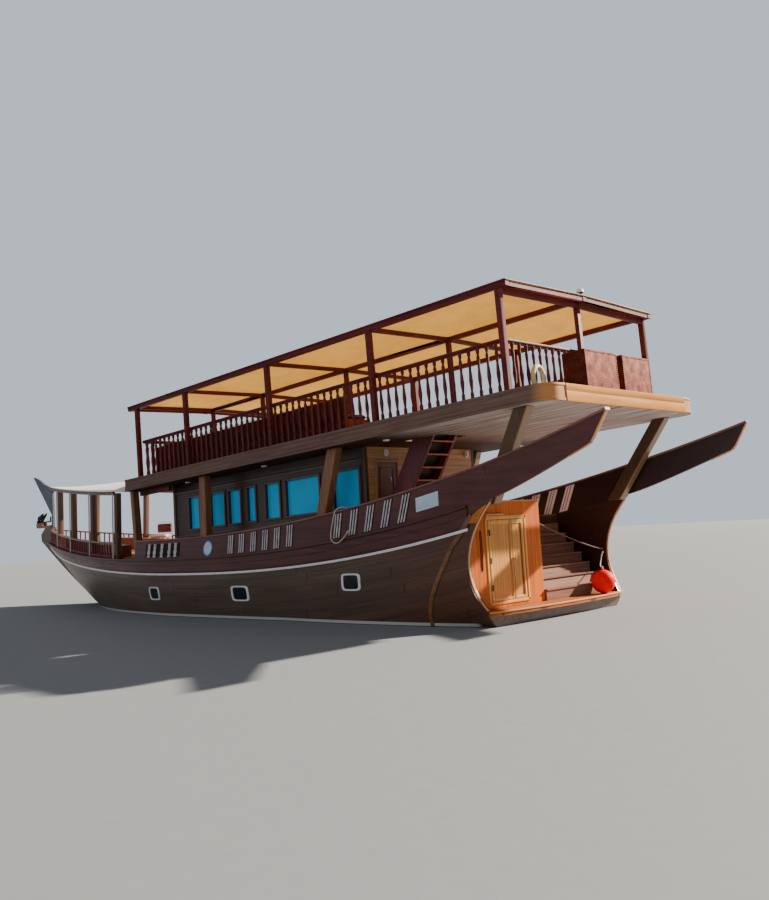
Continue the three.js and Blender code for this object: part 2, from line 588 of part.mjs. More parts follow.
const boxTall = 795;
[['port', 60, 1210], ['starboard', -1240, -150]].forEach(([side, yLow, yHigh]) => {
  addPiece(`wicker_box_${side}`, box([-830, yLow, gap], [-300, yHigh, boxTall]), 'wicker', upper);
});
const sofaEnds = [4700, 12700];
const sofaSeat = 430;
const sofaTop = 850;
const sofa = loft(sofaEnds.map((x) => [[1650, gap], [2440, gap], [2440, sofaTop], [2260, sofaTop],
  [2200, sofaSeat], [1650, sofaSeat]].map(([y, z]) => [x, y, z])));
addPiece('sofa_port', sofa, 'cushion', upper);
addPiece('sofa_starboard', mirrored(sofa), 'cushion', upper);
const buoyArc = Array.from({ length: 11 }, (_, k) => THREE.MathUtils.degToRad(-60 + 30 * k))
  .map((angle) => [0, 1620 + 170 * Math.cos(angle), 340 + 230 * Math.sin(angle)]);
addPiece('lifebuoy', toSolid(tube(buoyArc, 50, 24)), 'white', upper);
const lampProfile = [[0, 0], [60, 0], [60, 20], [30, 30], [80, 80], [80, 120], [50, 160], [0, 175]];
addPiece('roof_lamp', turned(lampProfile, 16), 'steel', upper).position.set(-130, 0, headroom + beamTall + camber + sheetThick + 4);

// Propeller, rudder and what lies on the platform
function propeller() {
  const hub = toSolid(turned([[0, -110], [50, -110], [95, -60], [95, 110], [45, 112], [45, 200], [0, 200]], 24));
  const blades = [0, 90, 180, 270].map((turn) => {
    const edge = [[60, -60], [200, -120], [320, -130], [390, -60], [400, 0]];
    const outline = [...edge, ...edge.slice(0, -1).reverse().map(([x, y]) => [x, -y])];
    const blade = flatPlate(outline, -12, 12);
    blade.rotateX(THREE.MathUtils.degToRad(32)).rotateZ(THREE.MathUtils.degToRad(turn));
    return toSolid(blade);
  });
  return fromSolid(join([hub, ...blades])).rotateY(Math.PI / 2);
}
addPiece('propeller', propeller(), 'bronze').position.set(...propellerAt);
const rudderOutline = [[-10350, -620], [-11150, -560], [-11230, -1500], [-11150, -1580], [-10350, -1580]];
addPiece('rudder', join([toSolid(sidePlate(rudderOutline, -35, 35)),
  toSolid(turned([[0, -1570], [45, -1570], [45, -100], [0, -100]], 16).translate(rudderX, 0, 0))]), 'hull');
const fenderTop = platformZ + gap + 2 * fenderRadius + 24;
const fenderProfile = [[0, -fenderRadius], ...Array.from({ length: 13 }, (_, k) => {
  const angle = THREE.MathUtils.degToRad(-78 + 12.5 * k);
  return [fenderRadius * Math.cos(angle), fenderRadius * Math.sin(angle)];
}), [35, fenderRadius - 6], [35, fenderRadius + 24], [0, fenderRadius + 24]];
addPiece('fender', turned(fenderProfile, 20), 'red').position.set(...fenderAt, platformZ + gap + fenderRadius);

// Ropes: across the stairs, from the quarter to the fender, and over the port bulwark
const ropeRadius = 13;
const ropes = { // the points of each run, from end to end
  hand_rope: [
    [-10560, cabinetY[0] - 4, 1965], [-10560, 20, 1958], [-10562, -300, 1845], [-10568, -800, 1682],
    [-10575, -1300, 1530], [-10584, -1800, 1394], [-10593, -2200, 1302], [-10600, -2360, 1280]],
  fender_rope: [
    [-10610, -2360, 1200], [-10612, -2310, 1150], [-10630, -2230, 1040], [-10680, -2110, 940],
    [-10770, -1970, 890], [-10870, -1840, 888], [-10945, -1750, 905], [-10982, -1706, 893],
    [...fenderAt, fenderTop + 3]],
  side_rope: [
    [-7290, 2400, 2425], [-7270, 2440, 2500], [-7210, 2530, 2547], [-7130, 2640, 2540], [-7085, 2708, 2480],
    [-7060, 2730, 2380], [-7010, 2745, 2200], [-6965, 2762, 2000], [-6975, 2775, 1880], [-7040, 2783, 1805],
    [-7140, 2787, 1775], [-7250, 2785, 1795], [-7360, 2778, 1860], [-7450, 2768, 1940], [-7510, 2757, 2010]],
};
Object.entries(ropes).forEach(([name, points]) => addPiece(name, tube(points, ropeRadius, 40), 'rope'));

export default boat;
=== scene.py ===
import math

import bmesh
import bpy
import numpy as np
from mathutils import Matrix


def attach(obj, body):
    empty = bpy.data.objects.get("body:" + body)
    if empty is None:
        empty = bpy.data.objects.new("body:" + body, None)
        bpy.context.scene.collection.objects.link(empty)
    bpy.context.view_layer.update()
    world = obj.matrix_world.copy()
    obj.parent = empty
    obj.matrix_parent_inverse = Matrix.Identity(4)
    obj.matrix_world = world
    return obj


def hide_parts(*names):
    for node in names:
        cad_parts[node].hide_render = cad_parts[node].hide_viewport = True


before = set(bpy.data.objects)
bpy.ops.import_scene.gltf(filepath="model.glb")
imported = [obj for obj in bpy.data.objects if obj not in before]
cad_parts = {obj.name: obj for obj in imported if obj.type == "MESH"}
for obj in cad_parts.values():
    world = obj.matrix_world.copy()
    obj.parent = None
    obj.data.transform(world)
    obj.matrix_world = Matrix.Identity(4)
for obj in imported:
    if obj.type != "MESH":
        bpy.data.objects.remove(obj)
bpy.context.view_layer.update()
print("frame loaded:", len(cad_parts), "nodes")

# Camera, floor and lights
view = {  # the photograph's viewpoint, in the boat's frame
    "place": (-22.4646, 16.4653, 1.9968),
    "right": (-0.703101, -0.708683, -0.058465),
    "up": (-0.101918, 0.019062, 0.994610),
    "back": (-0.703749, 0.705270, -0.085630),
    "lens": 37.227,  # mm, on a 36 mm sensor along the picture's tall side
}
studio = {
    "floor": (133.12, 135.69, 139.45),  # 0 to 255
    "sky": (0.80, 0.86, 0.95),
    "skyStrength": 0.36,
    "backdrop": (0.62, 0.70, 0.78),
    "keyColor": (1.0, 0.90, 0.76),
    "keyFrom": (-0.302, -0.83, 0.469),  # from starboard, a little over the stern
    "keyStrength": 15.0,
    "keyAngle": 1.5,  # degrees
    "fillFrom": (-0.30, 0.93, 0.06),
    "fillStrength": 0.62,
}


def placed(name, data):
    thing = bpy.data.objects.new(name, data)
    bpy.context.scene.collection.objects.link(thing)
    return thing


def setCamera():
    data = bpy.data.cameras.new("camera")
    data.lens = view["lens"]
    data.sensor_width = 36
    data.clip_start, data.clip_end = 0.5, 600
    camera = placed("camera", data)
    columns = [view["right"], view["up"], view["back"], view["place"]]
    camera.matrix_world = Matrix([[c[row] for c in columns] for row in range(3)] + [[0, 0, 0, 1]])
    bpy.context.scene.camera = camera


def addSun(name, direction, strength, angle, color=(1, 1, 1)):
    data = bpy.data.lights.new(name, "SUN")
    data.energy = strength
    data.color = color
    data.angle = math.radians(angle)
    back = np.array(direction) / np.linalg.norm(direction)
    side = np.cross((0, 0, 1), back)
    side /= np.linalg.norm(side)
    up = np.cross(back, side)
    turn = [[side[r], up[r], back[r], 30 * back[r]] for r in range(3)]
    placed(name, data).matrix_world = Matrix(turn + [[0, 0, 0, 1]])


def setStudio():
    addSun("key_light", studio["keyFrom"], studio["keyStrength"], studio["keyAngle"], studio["keyColor"])
    addSun("fill_light", studio["fillFrom"], studio["fillStrength"], 60)
    world = bpy.data.worlds.new("studio")
    world.use_nodes = True
    tree = world.node_tree
    light = tree.nodes["Background"]
    light.inputs["Color"].default_value = (*studio["sky"], 1)
    light.inputs["Strength"].default_value = studio["skyStrength"]
    backdrop = tree.nodes.new("ShaderNodeBackground")
    backdrop.inputs["Color"].default_value = (*studio["backdrop"], 1)
    rays, mix = tree.nodes.new("ShaderNodeLightPath"), tree.nodes.new("ShaderNodeMixShader")
    tree.links.new(rays.outputs["Is Camera Ray"], mix.inputs[0])
    tree.links.new(light.outputs[0], mix.inputs[1])
    tree.links.new(backdrop.outputs[0], mix.inputs[2])
    tree.links.new(mix.outputs[0], tree.nodes["World Output"].inputs["Surface"])
    bpy.context.scene.world = world


setCamera()
setStudio()
print("camera and studio set")


# Shapes. A part is (points, quads, triangles); a point is x, y, z and may carry two numbers more, its flow
def clamp(value, low, high):
    return np.minimum(np.maximum(value, low), high)


def unit(vectors):
    return vectors / np.maximum(np.linalg.norm(vectors, axis=-1, keepdims=True), 1e-12)


# Signed power, sign(v) |v|^p, which squares a circle off where p is under one
def power(value, exponent):
    return np.sign(value) * np.abs(value) ** exponent


def angles(count):
    return np.linspace(0, 2 * math.pi, count, endpoint=False)


# Coordinates brought to one shape and put together as points
def grid(*axes):
    return np.stack(np.broadcast_arrays(*axes), -1)


def lengthsAlong(line):
    return np.concatenate([[0], np.cumsum(np.linalg.norm(np.diff(line, axis=0), axis=1))])


def withFlow(points):
    if points.shape[-1] == 5:
        return points
    return np.concatenate([points, np.zeros((*points.shape[:-1], 2))], axis=-1)


# A skin over rings of equal count: point (i, j) joins (i+1, j) and (i, j+1); ends close on their middle point,
# or the last ring joins the first one. The enclosed volume, the sum of p0 . (p1 x p2), is under zero for a skin
# that is inside out.
def skin(rings, closed=True, loop=False):
    rings = withFlow(np.asarray(rings, float))
    rows, count, _ = rings.shape
    i = np.arange(rows if loop else rows - 1)[:, None]
    j = np.arange(count if closed else count - 1)[None, :]
    a, b = i * count + j, i * count + (j + 1) % count
    c, d = (b + count) % (rows * count), (a + count) % (rows * count)
    quads = grid(a, b, c, d).reshape(-1, 4)
    points = rings.reshape(-1, 5)
    tris = np.zeros((0, 3), int)
    if closed and not loop:
        k = np.arange(count)
        middle = np.stack([rings[0].mean(0), rings[-1].mean(0)])
        first = grid(np.full(count, len(points)), (k + 1) % count, k)
        top = (rows - 1) * count
        last = grid(np.full(count, len(points) + 1), top + k, top + (k + 1) % count)
        points, tris = np.concatenate([points, middle]), np.concatenate([first, last])
    return turnedOut(points, quads, tris) if closed else (points, quads, tris)


def turnedOut(points, quads, tris):
    corners = points[:, :3] - points[:, :3].mean(0)
    halves = np.concatenate([quads[:, :3], quads[:, [0, 2, 3]], tris])
    a, b, c = (corners[halves[:, n]] for n in range(3))
    if np.einsum("ij,ij->", a, np.cross(b, c)) < 0:
        return points, quads[:, ::-1], tris[:, ::-1]
    return points, quads, tris


# A closed thin shell between two grids of the same shape: both faces, and a strip round their four edges
def shell(outer, inner):
    outer, inner = withFlow(np.asarray(outer, float)), withFlow(np.asarray(inner, float))
    rows, count, _ = outer.shape
    at = np.arange(rows * count).reshape(rows, count)
    back = at + rows * count
    a, b, c, d = at[:-1, :-1], at[:-1, 1:], at[1:, 1:], at[1:, :-1]
    face = grid(a, b, c, d).reshape(-1, 4)
    rear = face[:, ::-1] + rows * count
    strips = [grid(at[0, 1:], at[0, :-1], back[0, :-1], back[0, 1:]),
              grid(at[-1, :-1], at[-1, 1:], back[-1, 1:], back[-1, :-1]),
              grid(at[:-1, 0], at[1:, 0], back[1:, 0], back[:-1, 0]),
              grid(at[1:, -1], at[:-1, -1], back[:-1, -1], back[1:, -1])]
    points = np.concatenate([outer.reshape(-1, 5), inner.reshape(-1, 5)])
    return turnedOut(points, np.concatenate([face, rear, *strips]), np.zeros((0, 3), int))


def joined(parts):
    starts = np.cumsum([0] + [len(p[0]) for p in parts[:-1]])
    return (np.concatenate([withFlow(p[0]) for p in parts]),
            np.concatenate([p[1] + s for p, s in zip(parts, starts)]),
            np.concatenate([p[2] + s for p, s in zip(parts, starts)]))


def moved(part, offset):
    points = part[0].copy()
    points[:, :3] += offset
    return points, part[1], part[2]


# The same part at every offset, all worked out at once
def repeated(part, offsets):
    points, quads, tris = withFlow(part[0]), part[1], part[2]
    offsets = np.atleast_2d(np.asarray(offsets, float))
    shift = np.concatenate([offsets, np.zeros((len(offsets), 2))], axis=1)
    step = (np.arange(len(offsets)) * len(points))[:, None, None]
    return ((points[None] + shift[:, None]).reshape(-1, 5), (quads[None] + step).reshape(-1, 4),
            (tris[None] + step).reshape(-1, 3))


def mirrored(part):
    points = part[0].copy()
    points[:, 1] *= -1
    return points, part[1][:, ::-1], part[2][:, ::-1]


def same(part):
    return part


sides = {"port": same, "starboard": mirrored}


# A point turned by the upper deck's slope about Y and set at its foot: x' = cx + sz, z' = cz - sx
upper = {"pitch": 0.0402, "foot": (-12.0, 0.0, 4.42), "ends": (-0.97, 13.9), "half": 2.8, "thick": 0.318}


def onUpper(part):
    points = part[0].copy()
    c, s = math.cos(upper["pitch"]), math.sin(upper["pitch"])
    x, z = part[0][:, 0], part[0][:, 2]
    points[:, 0] = c * x + s * z + upper["foot"][0]
    points[:, 2] = c * z - s * x + upper["foot"][2]
    return points, part[1], part[2]


# A rectangle with quarter circles of two steps at its corners, as (side, up) pairs
def roundRect(width, height, radius):
    turn = np.linspace(0, math.pi / 2, 3)[None] + np.arange(4)[:, None] * math.pi / 2
    middle = np.array([[1, 1], [-1, 1], [-1, -1], [1, -1]]) * [width / 2 - radius, height / 2 - radius]
    ring = middle[:, None] + radius * grid(np.cos(turn), np.sin(turn))
    return ring.reshape(-1, 2)


# A profile carried along a path: point = path + side * p0 + over * p1, where side = tangent x up and over is
# square to both; flow = metres run and metres round the profile
def carried(path, profile, up=(0, 0, 1)):
    path = np.asarray(path, float)
    profile = np.broadcast_to(profile, (len(path), *np.shape(profile)[-2:]))
    tangent = unit(np.gradient(path, axis=0))
    side = unit(np.cross(tangent, np.broadcast_to(up, path.shape)))
    over = np.cross(side, tangent)
    rings = path[:, None] + profile[..., :1] * side[:, None] + profile[..., 1:] * over[:, None]
    about = np.cumsum(np.linalg.norm(np.diff(profile, axis=1, prepend=profile[:, :1]), axis=2), axis=1)
    return np.concatenate([rings, grid(lengthsAlong(path)[:, None], about)], -1)


# A straight timber with softened edges and ends: its section shrinks by the radius at both ends
def timber(start, end, width, height, radius=0.008, up=(0, 0, 1)):
    start, end = np.asarray(start, float), np.asarray(end, float)
    along = unit(end - start)
    path = np.stack([start, start + radius * along, end - radius * along, end])
    full = roundRect(width, height, radius)
    small = full * [1 - 2 * radius / width, 1 - 2 * radius / height]
    return skin(carried(path, np.stack([small, full, full, small]), up))


# A block between two corners, as a timber along its longest side
def block(low, high, radius=0.006):
    low, high = np.asarray(low, float), np.asarray(high, float)
    size, middle = high - low, (low + high) / 2
    axis = int(np.argmax(size))
    start, end = middle.copy(), middle.copy()
    start[axis], end[axis] = low[axis], high[axis]
    up = (0, 0, 1) if axis < 2 else (1, 0, 0)
    across = {0: (size[1], size[2]), 1: (size[0], size[2]), 2: (size[1], size[0])}[axis]
    radius = min(radius, min(across) * 0.45, size[axis] * 0.45)
    return timber(start, end, *across, radius, up)


# A turned form: each (radius, height) pair becomes a ring, x = r cos a, y = r sin a
def turned(profile, sides=24):
    profile = np.asarray(profile, float)
    angle = angles(sides)
    radius, height = profile[:, :1], profile[:, 1:]
    return skin(grid(radius * np.cos(angle), radius * np.sin(angle), height))


# Centripetal spline through points, sampled evenly by length
def smoothLine(points, count):
    p = np.asarray(points, float)
    p = np.concatenate([[2 * p[0] - p[1]], p, [2 * p[-1] - p[-2]]])
    gaps = np.linalg.norm(np.diff(p, axis=0), axis=1) ** 0.5
    d0, d1, d2 = (g[:, None] for g in (gaps[:-2], gaps[1:-1], gaps[2:]))
    p0, p1, p2, p3 = p[:-3], p[1:-2], p[2:-1], p[3:]
    t1 = ((p1 - p0) / d0 - (p2 - p0) / (d0 + d1) + (p2 - p1) / d1) * d1
    t2 = ((p2 - p1) / d1 - (p3 - p1) / (d1 + d2) + (p3 - p2) / d2) * d1
    t = np.linspace(0, 1, 60, endpoint=False)[None, :, None]
    c2, c3 = -3 * p1 + 3 * p2 - 2 * t1 - t2, 2 * p1 - 2 * p2 + t1 + t2
    line = (p1[:, None] + t1[:, None] * t + c2[:, None] * t**2 + c3[:, None] * t**3).reshape(-1, 3)
    line = np.concatenate([line, points[-1:]])
    run = lengthsAlong(line)
    even = np.linspace(0, run[-1], count)
    return np.stack([np.interp(even, run, line[:, k]) for k in range(3)], -1), run[-1]


def buildPiece(name, parts, finish, body="boat", replaces=(), sharp=40):
    points, quads, tris = joined(parts)
    mesh = bpy.data.meshes.new(name)
    mesh.vertices.add(len(points))
    mesh.vertices.foreach_set("co", points[:, :3].astype(np.float32).ravel())
    mesh.loops.add(4 * len(quads) + 3 * len(tris))
    mesh.loops.foreach_set("vertex_index", np.concatenate([quads.ravel(), tris.ravel()]).astype(np.int32))
    mesh.polygons.add(len(quads) + len(tris))
    starts = np.concatenate([4 * np.arange(len(quads)), 4 * len(quads) + 3 * np.arange(len(tris))])
    mesh.polygons.foreach_set("loop_start", starts.astype(np.int32))
    mesh.polygons.foreach_set("use_smooth", np.ones(len(starts), bool))
    mesh.update(calc_edges=True)
    mesh.validate()
    mesh.set_sharp_from_angle(angle=math.radians(sharp))
    if np.any(points[:, 3:]):
        flow = mesh.attributes.new("flow", "FLOAT_VECTOR", "POINT")
        flow.data.foreach_set("vector", np.pad(points[:, 3:], ((0, 0), (0, 1))).astype(np.float32).ravel())
    mesh.materials.append(finishes[finish])
    piece = placed(name, mesh)
    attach(piece, body)
    if replaces:
        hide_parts(*([replaces] if isinstance(replaces, str) else replaces))
    return piece


# A CAD node's own solid, merged and with its edges rounded off, which stands in for the node
def softened(node, finish, width, body="boat"):
    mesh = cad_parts[node].data.copy()
    mesh.name = node + "_eased"
    form = bmesh.new()
    form.from_mesh(mesh)
    bmesh.ops.remove_doubles(form, verts=form.verts, dist=2e-5)
    bmesh.ops.dissolve_limit(form, angle_limit=math.radians(1.5), verts=form.verts, edges=form.edges)
    form.to_mesh(mesh)
    form.free()
    mesh.materials.clear()
    mesh.materials.append(finishes[finish])
    mesh.polygons.foreach_set("use_smooth", np.ones(len(mesh.polygons), bool))
    mesh.set_sharp_from_angle(angle=math.radians(35))
    piece = placed(mesh.name, mesh)
    if width:
        ease = piece.modifiers.new("ease", "BEVEL")
        ease.width, ease.segments, ease.limit_method = width, 2, "ANGLE"
        ease.angle_limit = math.radians(35)
        ease.use_clamp_overlap = True
    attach(piece, body)
    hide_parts(node)


# Finishes, with their tones as red, green and blue from 0 to 255
def tone(red, green, blue):
    share = [c / 255 for c in (red, green, blue)]
    return (*(c / 12.92 if c < 0.0404 else ((c + 0.055) / 1.055) ** 2.4 for c in share), 1)


class Finish:
    # A material being made. put() adds a node, wires or sets its inputs and gives one of its outputs back.
    labels = {"metallic": "Metallic", "coat": "Coat Weight", "coatRoughness": "Coat Roughness",
              "sheen": "Sheen Weight", "specular": "Specular IOR Level"}

    def __init__(self, name, **surface):
        self.material = bpy.data.materials.new(name)
        self.material.use_nodes = True
        self.tree = self.material.node_tree
        self.shader = self.tree.nodes["Principled BSDF"]
        for key, value in surface.items():
            self.shader.inputs[self.labels[key]].default_value = value

    def put(self, kind, inputs=None, output=0, **settings):
        node = self.tree.nodes.new("ShaderNode" + kind)
        for key, value in settings.items():
            setattr(node, key, value)
        for key, value in (inputs or {}).items():
            if isinstance(value, bpy.types.NodeSocket):
                self.tree.links.new(value, node.inputs[key])
            else:
                node.inputs[key].default_value = value
        return node.outputs[output]

    def math(self, operation, a, b=0.0):
        return self.put("Math", {0: a, 1: b}, operation=operation)

    def plus(self, a, b):
        return self.math("ADD", a, b)

    def times(self, a, b):
        return self.math("MULTIPLY", a, b)

    def mix(self, factor, a, b, blend="MIX"):
        return self.put("Mix", {0: factor, 6: a, 7: b}, output=2, data_type="RGBA", blend_type=blend)

    def spread(self, value, low, high, first=0.0, last=1.0):
        return self.put("MapRange", {"Value": value, "From Min": low, "From Max": high,
                                     "To Min": first, "To Max": last})

    def noise(self, vector, scale, detail=4.0, rough=0.55, warp=0.0):
        return self.put("TexNoise", {"Vector": vector, "Scale": scale, "Detail": detail, "Roughness": rough,
                                     "Distortion": warp})

    def stretched(self, vector, scale):
        return self.put("Mapping", {"Vector": vector, "Scale": scale})

    def place(self):
        return self.put("TexCoord", output=3)

    def flow(self):
        return self.put("Attribute", output=1, attribute_name="flow")

    def axes(self, vector):
        node = self.tree.nodes.new("ShaderNodeSeparateXYZ")
        self.tree.links.new(vector, node.inputs[0])
        return node.outputs

    def facing(self, axis):
        return self.axes(self.put("NewGeometry", output=1))["xyz".index(axis)]

    def color(self):
        return self.shader.inputs["Base Color"].links[0].from_socket

    def wear(self, key, socket):
        self.tree.links.new(socket, self.shader.inputs[key])

    def bump(self, height, distance, strength=1.0):
        self.wear("Normal", self.put("Bump", {"Height": height, "Distance": distance, "Strength": strength}))


# Timber: streaks of noise drawn out along the grain, a tone of its own for each board, and dark seams where the
# distance to the next multiple of the board's width is less than the seam. The boards are given as the axis across
# them, width, seam and length.
def woodFinish(name, light, dark, grain, rough, coat, specular=0.5, streak=22, boards=None, source="place",
               vary=0.35, gap=0.75):
    finish = Finish(name, coat=coat, coatRoughness=0.15, specular=specular)
    light, dark = tone(*light), tone(*dark)
    place = finish.place() if source == "place" else finish.flow()
    axis = "xyz".index(grain)
    fine, broad = [streak] * 3, [0.9] * 3
    fine[axis], broad[axis] = streak * 0.05, 0.35
    fibres = finish.noise(finish.stretched(place, fine), 1.0, 7.0, 0.62, 0.6)
    clouds = finish.noise(finish.stretched(place, broad), 1.0, 3.0, 0.5)
    amount = finish.plus(finish.times(fibres, 0.75), finish.times(clouds, 0.45))
    color = finish.mix(finish.spread(amount, 0.42, 0.80), dark, light)
    height = finish.times(fibres, 0.25)
    if boards:
        side, width, seamWidth, length = boards
        axes = finish.axes(place)
        across, along = axes["xyz".index(side)], axes[axis]
        number = finish.math("FLOOR", finish.math("DIVIDE", across, width))
        own = finish.put("TexWhiteNoise", {"W": number}, noise_dimensions="1D")
        slide = finish.plus(along, finish.times(own, 7.3))
        piece = finish.math("FLOOR", finish.math("DIVIDE", slide, length))
        each = finish.put("TexWhiteNoise", {"W": finish.plus(number, finish.times(piece, 0.37))},
                          noise_dimensions="1D")
        color = finish.mix(finish.spread(each, 0, 1, 0, vary), color, finish.mix(0.65, light, dark))
        edges = [finish.math("PINGPONG", across, width / 2), finish.math("PINGPONG", slide, length / 2)]
        seam = finish.math("MAXIMUM", *(finish.spread(far, seamWidth * 0.4, seamWidth, 1, 0) for far in edges))
        color = finish.mix(finish.times(seam, gap), color, (*(0.25 * c for c in dark[:3]), 1))
        height = finish.math("SUBTRACT", height, seam)
    finish.wear("Base Color", color)
    finish.wear("Roughness", finish.spread(amount, 0.3, 0.9, rough + 0.12, rough - 0.08))
    finish.bump(height, 0.003 if boards else 0.0015, 0.6)
    return finish


# Faces that look in towards the centreline, where y times the normal's y is under zero, take a darker tone,
# a painted shade on the inner faces
def shadedInside(finish):
    side = finish.times(finish.axes(finish.place())[1], finish.facing("y"))
    inner = finish.mix(1.0, finish.color(), tone(120, 96, 84), "MULTIPLY")
    finish.wear("Base Color", finish.mix(finish.spread(side, -0.5, 0.2), inner, finish.color()))
    return finish


# Faces that look aft take a lighter tone, painted sunlight falling from astern
def sunlitAft(finish, litTone, share):
    paintedLightMix = finish.mix(share, finish.color(), tone(*litTone))
    finish.wear("Base Color", finish.mix(finish.spread(finish.facing("x"), -0.1, -0.7), finish.color(), paintedLightMix))
    return finish


def clothFinish(name, light, dark, thread, rough=0.9, sheen=0.3, through=0.0):
    finish = Finish(name, sheen=sheen)
    place = finish.place()
    x, y, z = finish.axes(place)
    weave = finish.times(*(finish.math("SINE", finish.times(finish.plus(side, z), thread)) for side in (x, y)))
    mottle, fine = finish.noise(place, 2.2, 5.0), finish.noise(place, 40.0, 3.0)
    amount = finish.plus(finish.times(mottle, 0.8), finish.times(fine, 0.3))
    color = finish.mix(finish.spread(amount, 0.35, 0.75), tone(*dark), tone(*light))
    # where the weave dips the colour goes a little darker, a painted shade between the threads
    color = finish.mix(finish.spread(weave, -1, 1, 0.12, 0), color, tone(*dark))
    finish.wear("Base Color", color)
    finish.wear("Roughness", finish.spread(fine, 0.3, 0.7, rough - 0.08, min(rough + 0.08, 1)))
    finish.bump(weave, 0.0008, 0.5)
    if through:
        thin = finish.put("BsdfTranslucent", {"Color": color})
        both = finish.put("MixShader", {0: through, 1: finish.shader.outputs[0], 2: thin})
        finish.tree.links.new(both, finish.tree.nodes["Material Output"].inputs["Surface"])
    return finish


# Paint or metal: a nearly even colour, clouded a little, with fine pitting
def plainFinish(name, light, dark, rough, metallic=0.0, coat=0.0, scale=6.0, bump=0.0004, specular=0.5):
    finish = Finish(name, metallic=metallic, coat=coat, specular=specular)
    place = finish.place()
    clouds = finish.noise(place, scale, 6.0)
    finish.wear("Base Color", finish.mix(finish.spread(clouds, 0.35, 0.7), tone(*dark), tone(*light)))
    finish.wear("Roughness", finish.spread(clouds, 0.3, 0.7, rough + 0.1, rough - 0.05))
    finish.bump(finish.noise(place, scale * 12, 4.0), bump, 0.5)
    return finish


waterline = {"paintTop": 0.012, "bandTall": 0.065, "soft": 0.004,
             "below": (38, 30, 30), "band": (205, 205, 200)}


# The hull's wood above, a pale band at the waterline and dark bottom paint below it. From x = -6 to -10.5
# the wood turns darker and warmer towards the stern, a painted shade on the quarters.
def hullFinish(name, source):
    boards = ("y", 1.0, 0.035, 5.5) if source == "flow" else None
    finish = woodFinish(name, (114, 94, 78), (62, 48, 38), "x", 0.42, 0.1, streak=9, boards=boards,
                        source=source, vary=0.5, gap=0.5)
    along, _, height = finish.axes(finish.place())
    paintedLightMix = finish.mix(1.0, finish.color(), tone(255, 196, 160), "MULTIPLY")
    wood = finish.mix(finish.spread(along, -6.0, -10.5), finish.color(), paintedLightMix)
    top, soft = waterline["paintTop"], waterline["soft"]
    bandTop = top + waterline["bandTall"]
    band = finish.mix(finish.spread(along, -10.72, -10.60), wood, tone(*waterline["band"]))
    banded = finish.mix(finish.spread(height, bandTop - soft, bandTop + soft), band, wood)
    below = tone(*waterline["below"])
    finish.wear("Base Color", finish.mix(finish.spread(height, top - soft, top + soft), below, banded))
    return shadedInside(finish)


def glassFinish():
    finish = Finish("window_glass", coat=0.15, coatRoughness=0.05, specular=0.25)
    place = finish.place()
    haze = finish.noise(place, 0.7, 2.0)
    finish.wear("Base Color", finish.mix(finish.spread(haze, 0.3, 0.7), tone(0, 176, 240), tone(0, 200, 255)))
    finish.wear("Roughness", finish.spread(haze, 0.3, 0.7, 0.05, 0.10))
    finish.bump(finish.noise(place, 3.0, 2.0), 0.0006, 0.3)
    return finish


# Woven cane: the strands' height is sin(u) * sin(v), over and under at each crossing; where a strand dips
# under, its colour goes dark, a painted shade in the weave's hollows
def wickerFinish():
    finish = Finish("wicker", specular=0.15)
    place = finish.place()
    x, y, z = finish.axes(place)
    level = finish.math("SINE", finish.times(z, 150))
    run = finish.math("SINE", finish.times(finish.plus(x, y), 105))
    cross = finish.times(level, run)
    clouds = finish.noise(place, 5.0, 5.0)
    color = finish.mix(finish.spread(clouds, 0.3, 0.7), tone(112, 38, 22), tone(206, 96, 54))
    color = finish.mix(finish.spread(cross, -1, 0.4, 0.75, 0), color, tone(50, 16, 14))
    # faces that look to port go darker, a painted shade on the side away from the sun
    portShade = finish.spread(finish.facing("y"), 0.3, 0.8, 0, 0.7)
    finish.wear("Base Color", finish.mix(portShade, color, tone(40, 12, 10)))
    finish.wear("Roughness", finish.spread(clouds, 0.3, 0.7, 0.75, 0.6))
    finish.bump(cross, 0.006, 0.9)
    return finish


rope = {"radius": 0.013, "pitch": 0.07, "strands": 3, "sides": 15, "groove": 0.04}


# Twisted rope: dark lines between strands where sin(3 turns round - run / pitch) dips, a painted shade in
# the grooves
def ropeFinish(name, light, dark, gap):
    finish = Finish(name, sheen=0.2)
    run, turn, _ = finish.axes(finish.flow())
    wave = finish.math("SINE", finish.math("SUBTRACT", finish.times(turn, 2 * math.pi * rope["strands"]),
                                           finish.times(run, 2 * math.pi / rope["pitch"])))
    hair = finish.noise(finish.place(), 120.0, 4.0)
    color = finish.mix(finish.spread(hair, 0.3, 0.7), tone(*dark), tone(*light))
    finish.wear("Base Color", finish.mix(finish.spread(wave, -1, -0.2, 0.6, 0), color, tone(*gap)))
    finish.wear("Roughness", finish.spread(hair, 0.3, 0.7, 0.85, 0.95))
    finish.bump(finish.plus(wave, finish.times(hair, 0.5)), 0.003, 0.8)
    return finish


deckWood = ((150, 108, 70), (106, 72, 44), "x", 0.7, 0, 0.2)


# The upper deck: boards above, and pale grey boards on the faces that look down; forward of about x = -8.3
# these go dark brown, a painted shade deep under the deck
def deckFinish():
    finish = woodFinish("upper_deck_boards", *deckWood, boards=("y", 0.13, 0.008, 4.2))
    place = finish.place()
    along, across, _ = finish.axes(place)
    streaks = finish.noise(finish.stretched(place, [0.5, 9, 9]), 1.0, 5.0)
    pale = finish.mix(finish.spread(streaks, 0.35, 0.65), tone(150, 128, 118), tone(220, 212, 208))
    seam = finish.spread(finish.math("PINGPONG", across, 0.065), 0.004, 0.009, 0.8, 0)
    pale = finish.mix(seam, pale, tone(54, 40, 34))
    pale = finish.mix(finish.spread(along, -8.3, -9.5), tone(74, 48, 30), pale)
    upward = finish.spread(finish.facing("z"), -0.5, -0.2)
    finish.wear("Base Color", finish.mix(upward, pale, finish.color()))
    return finish


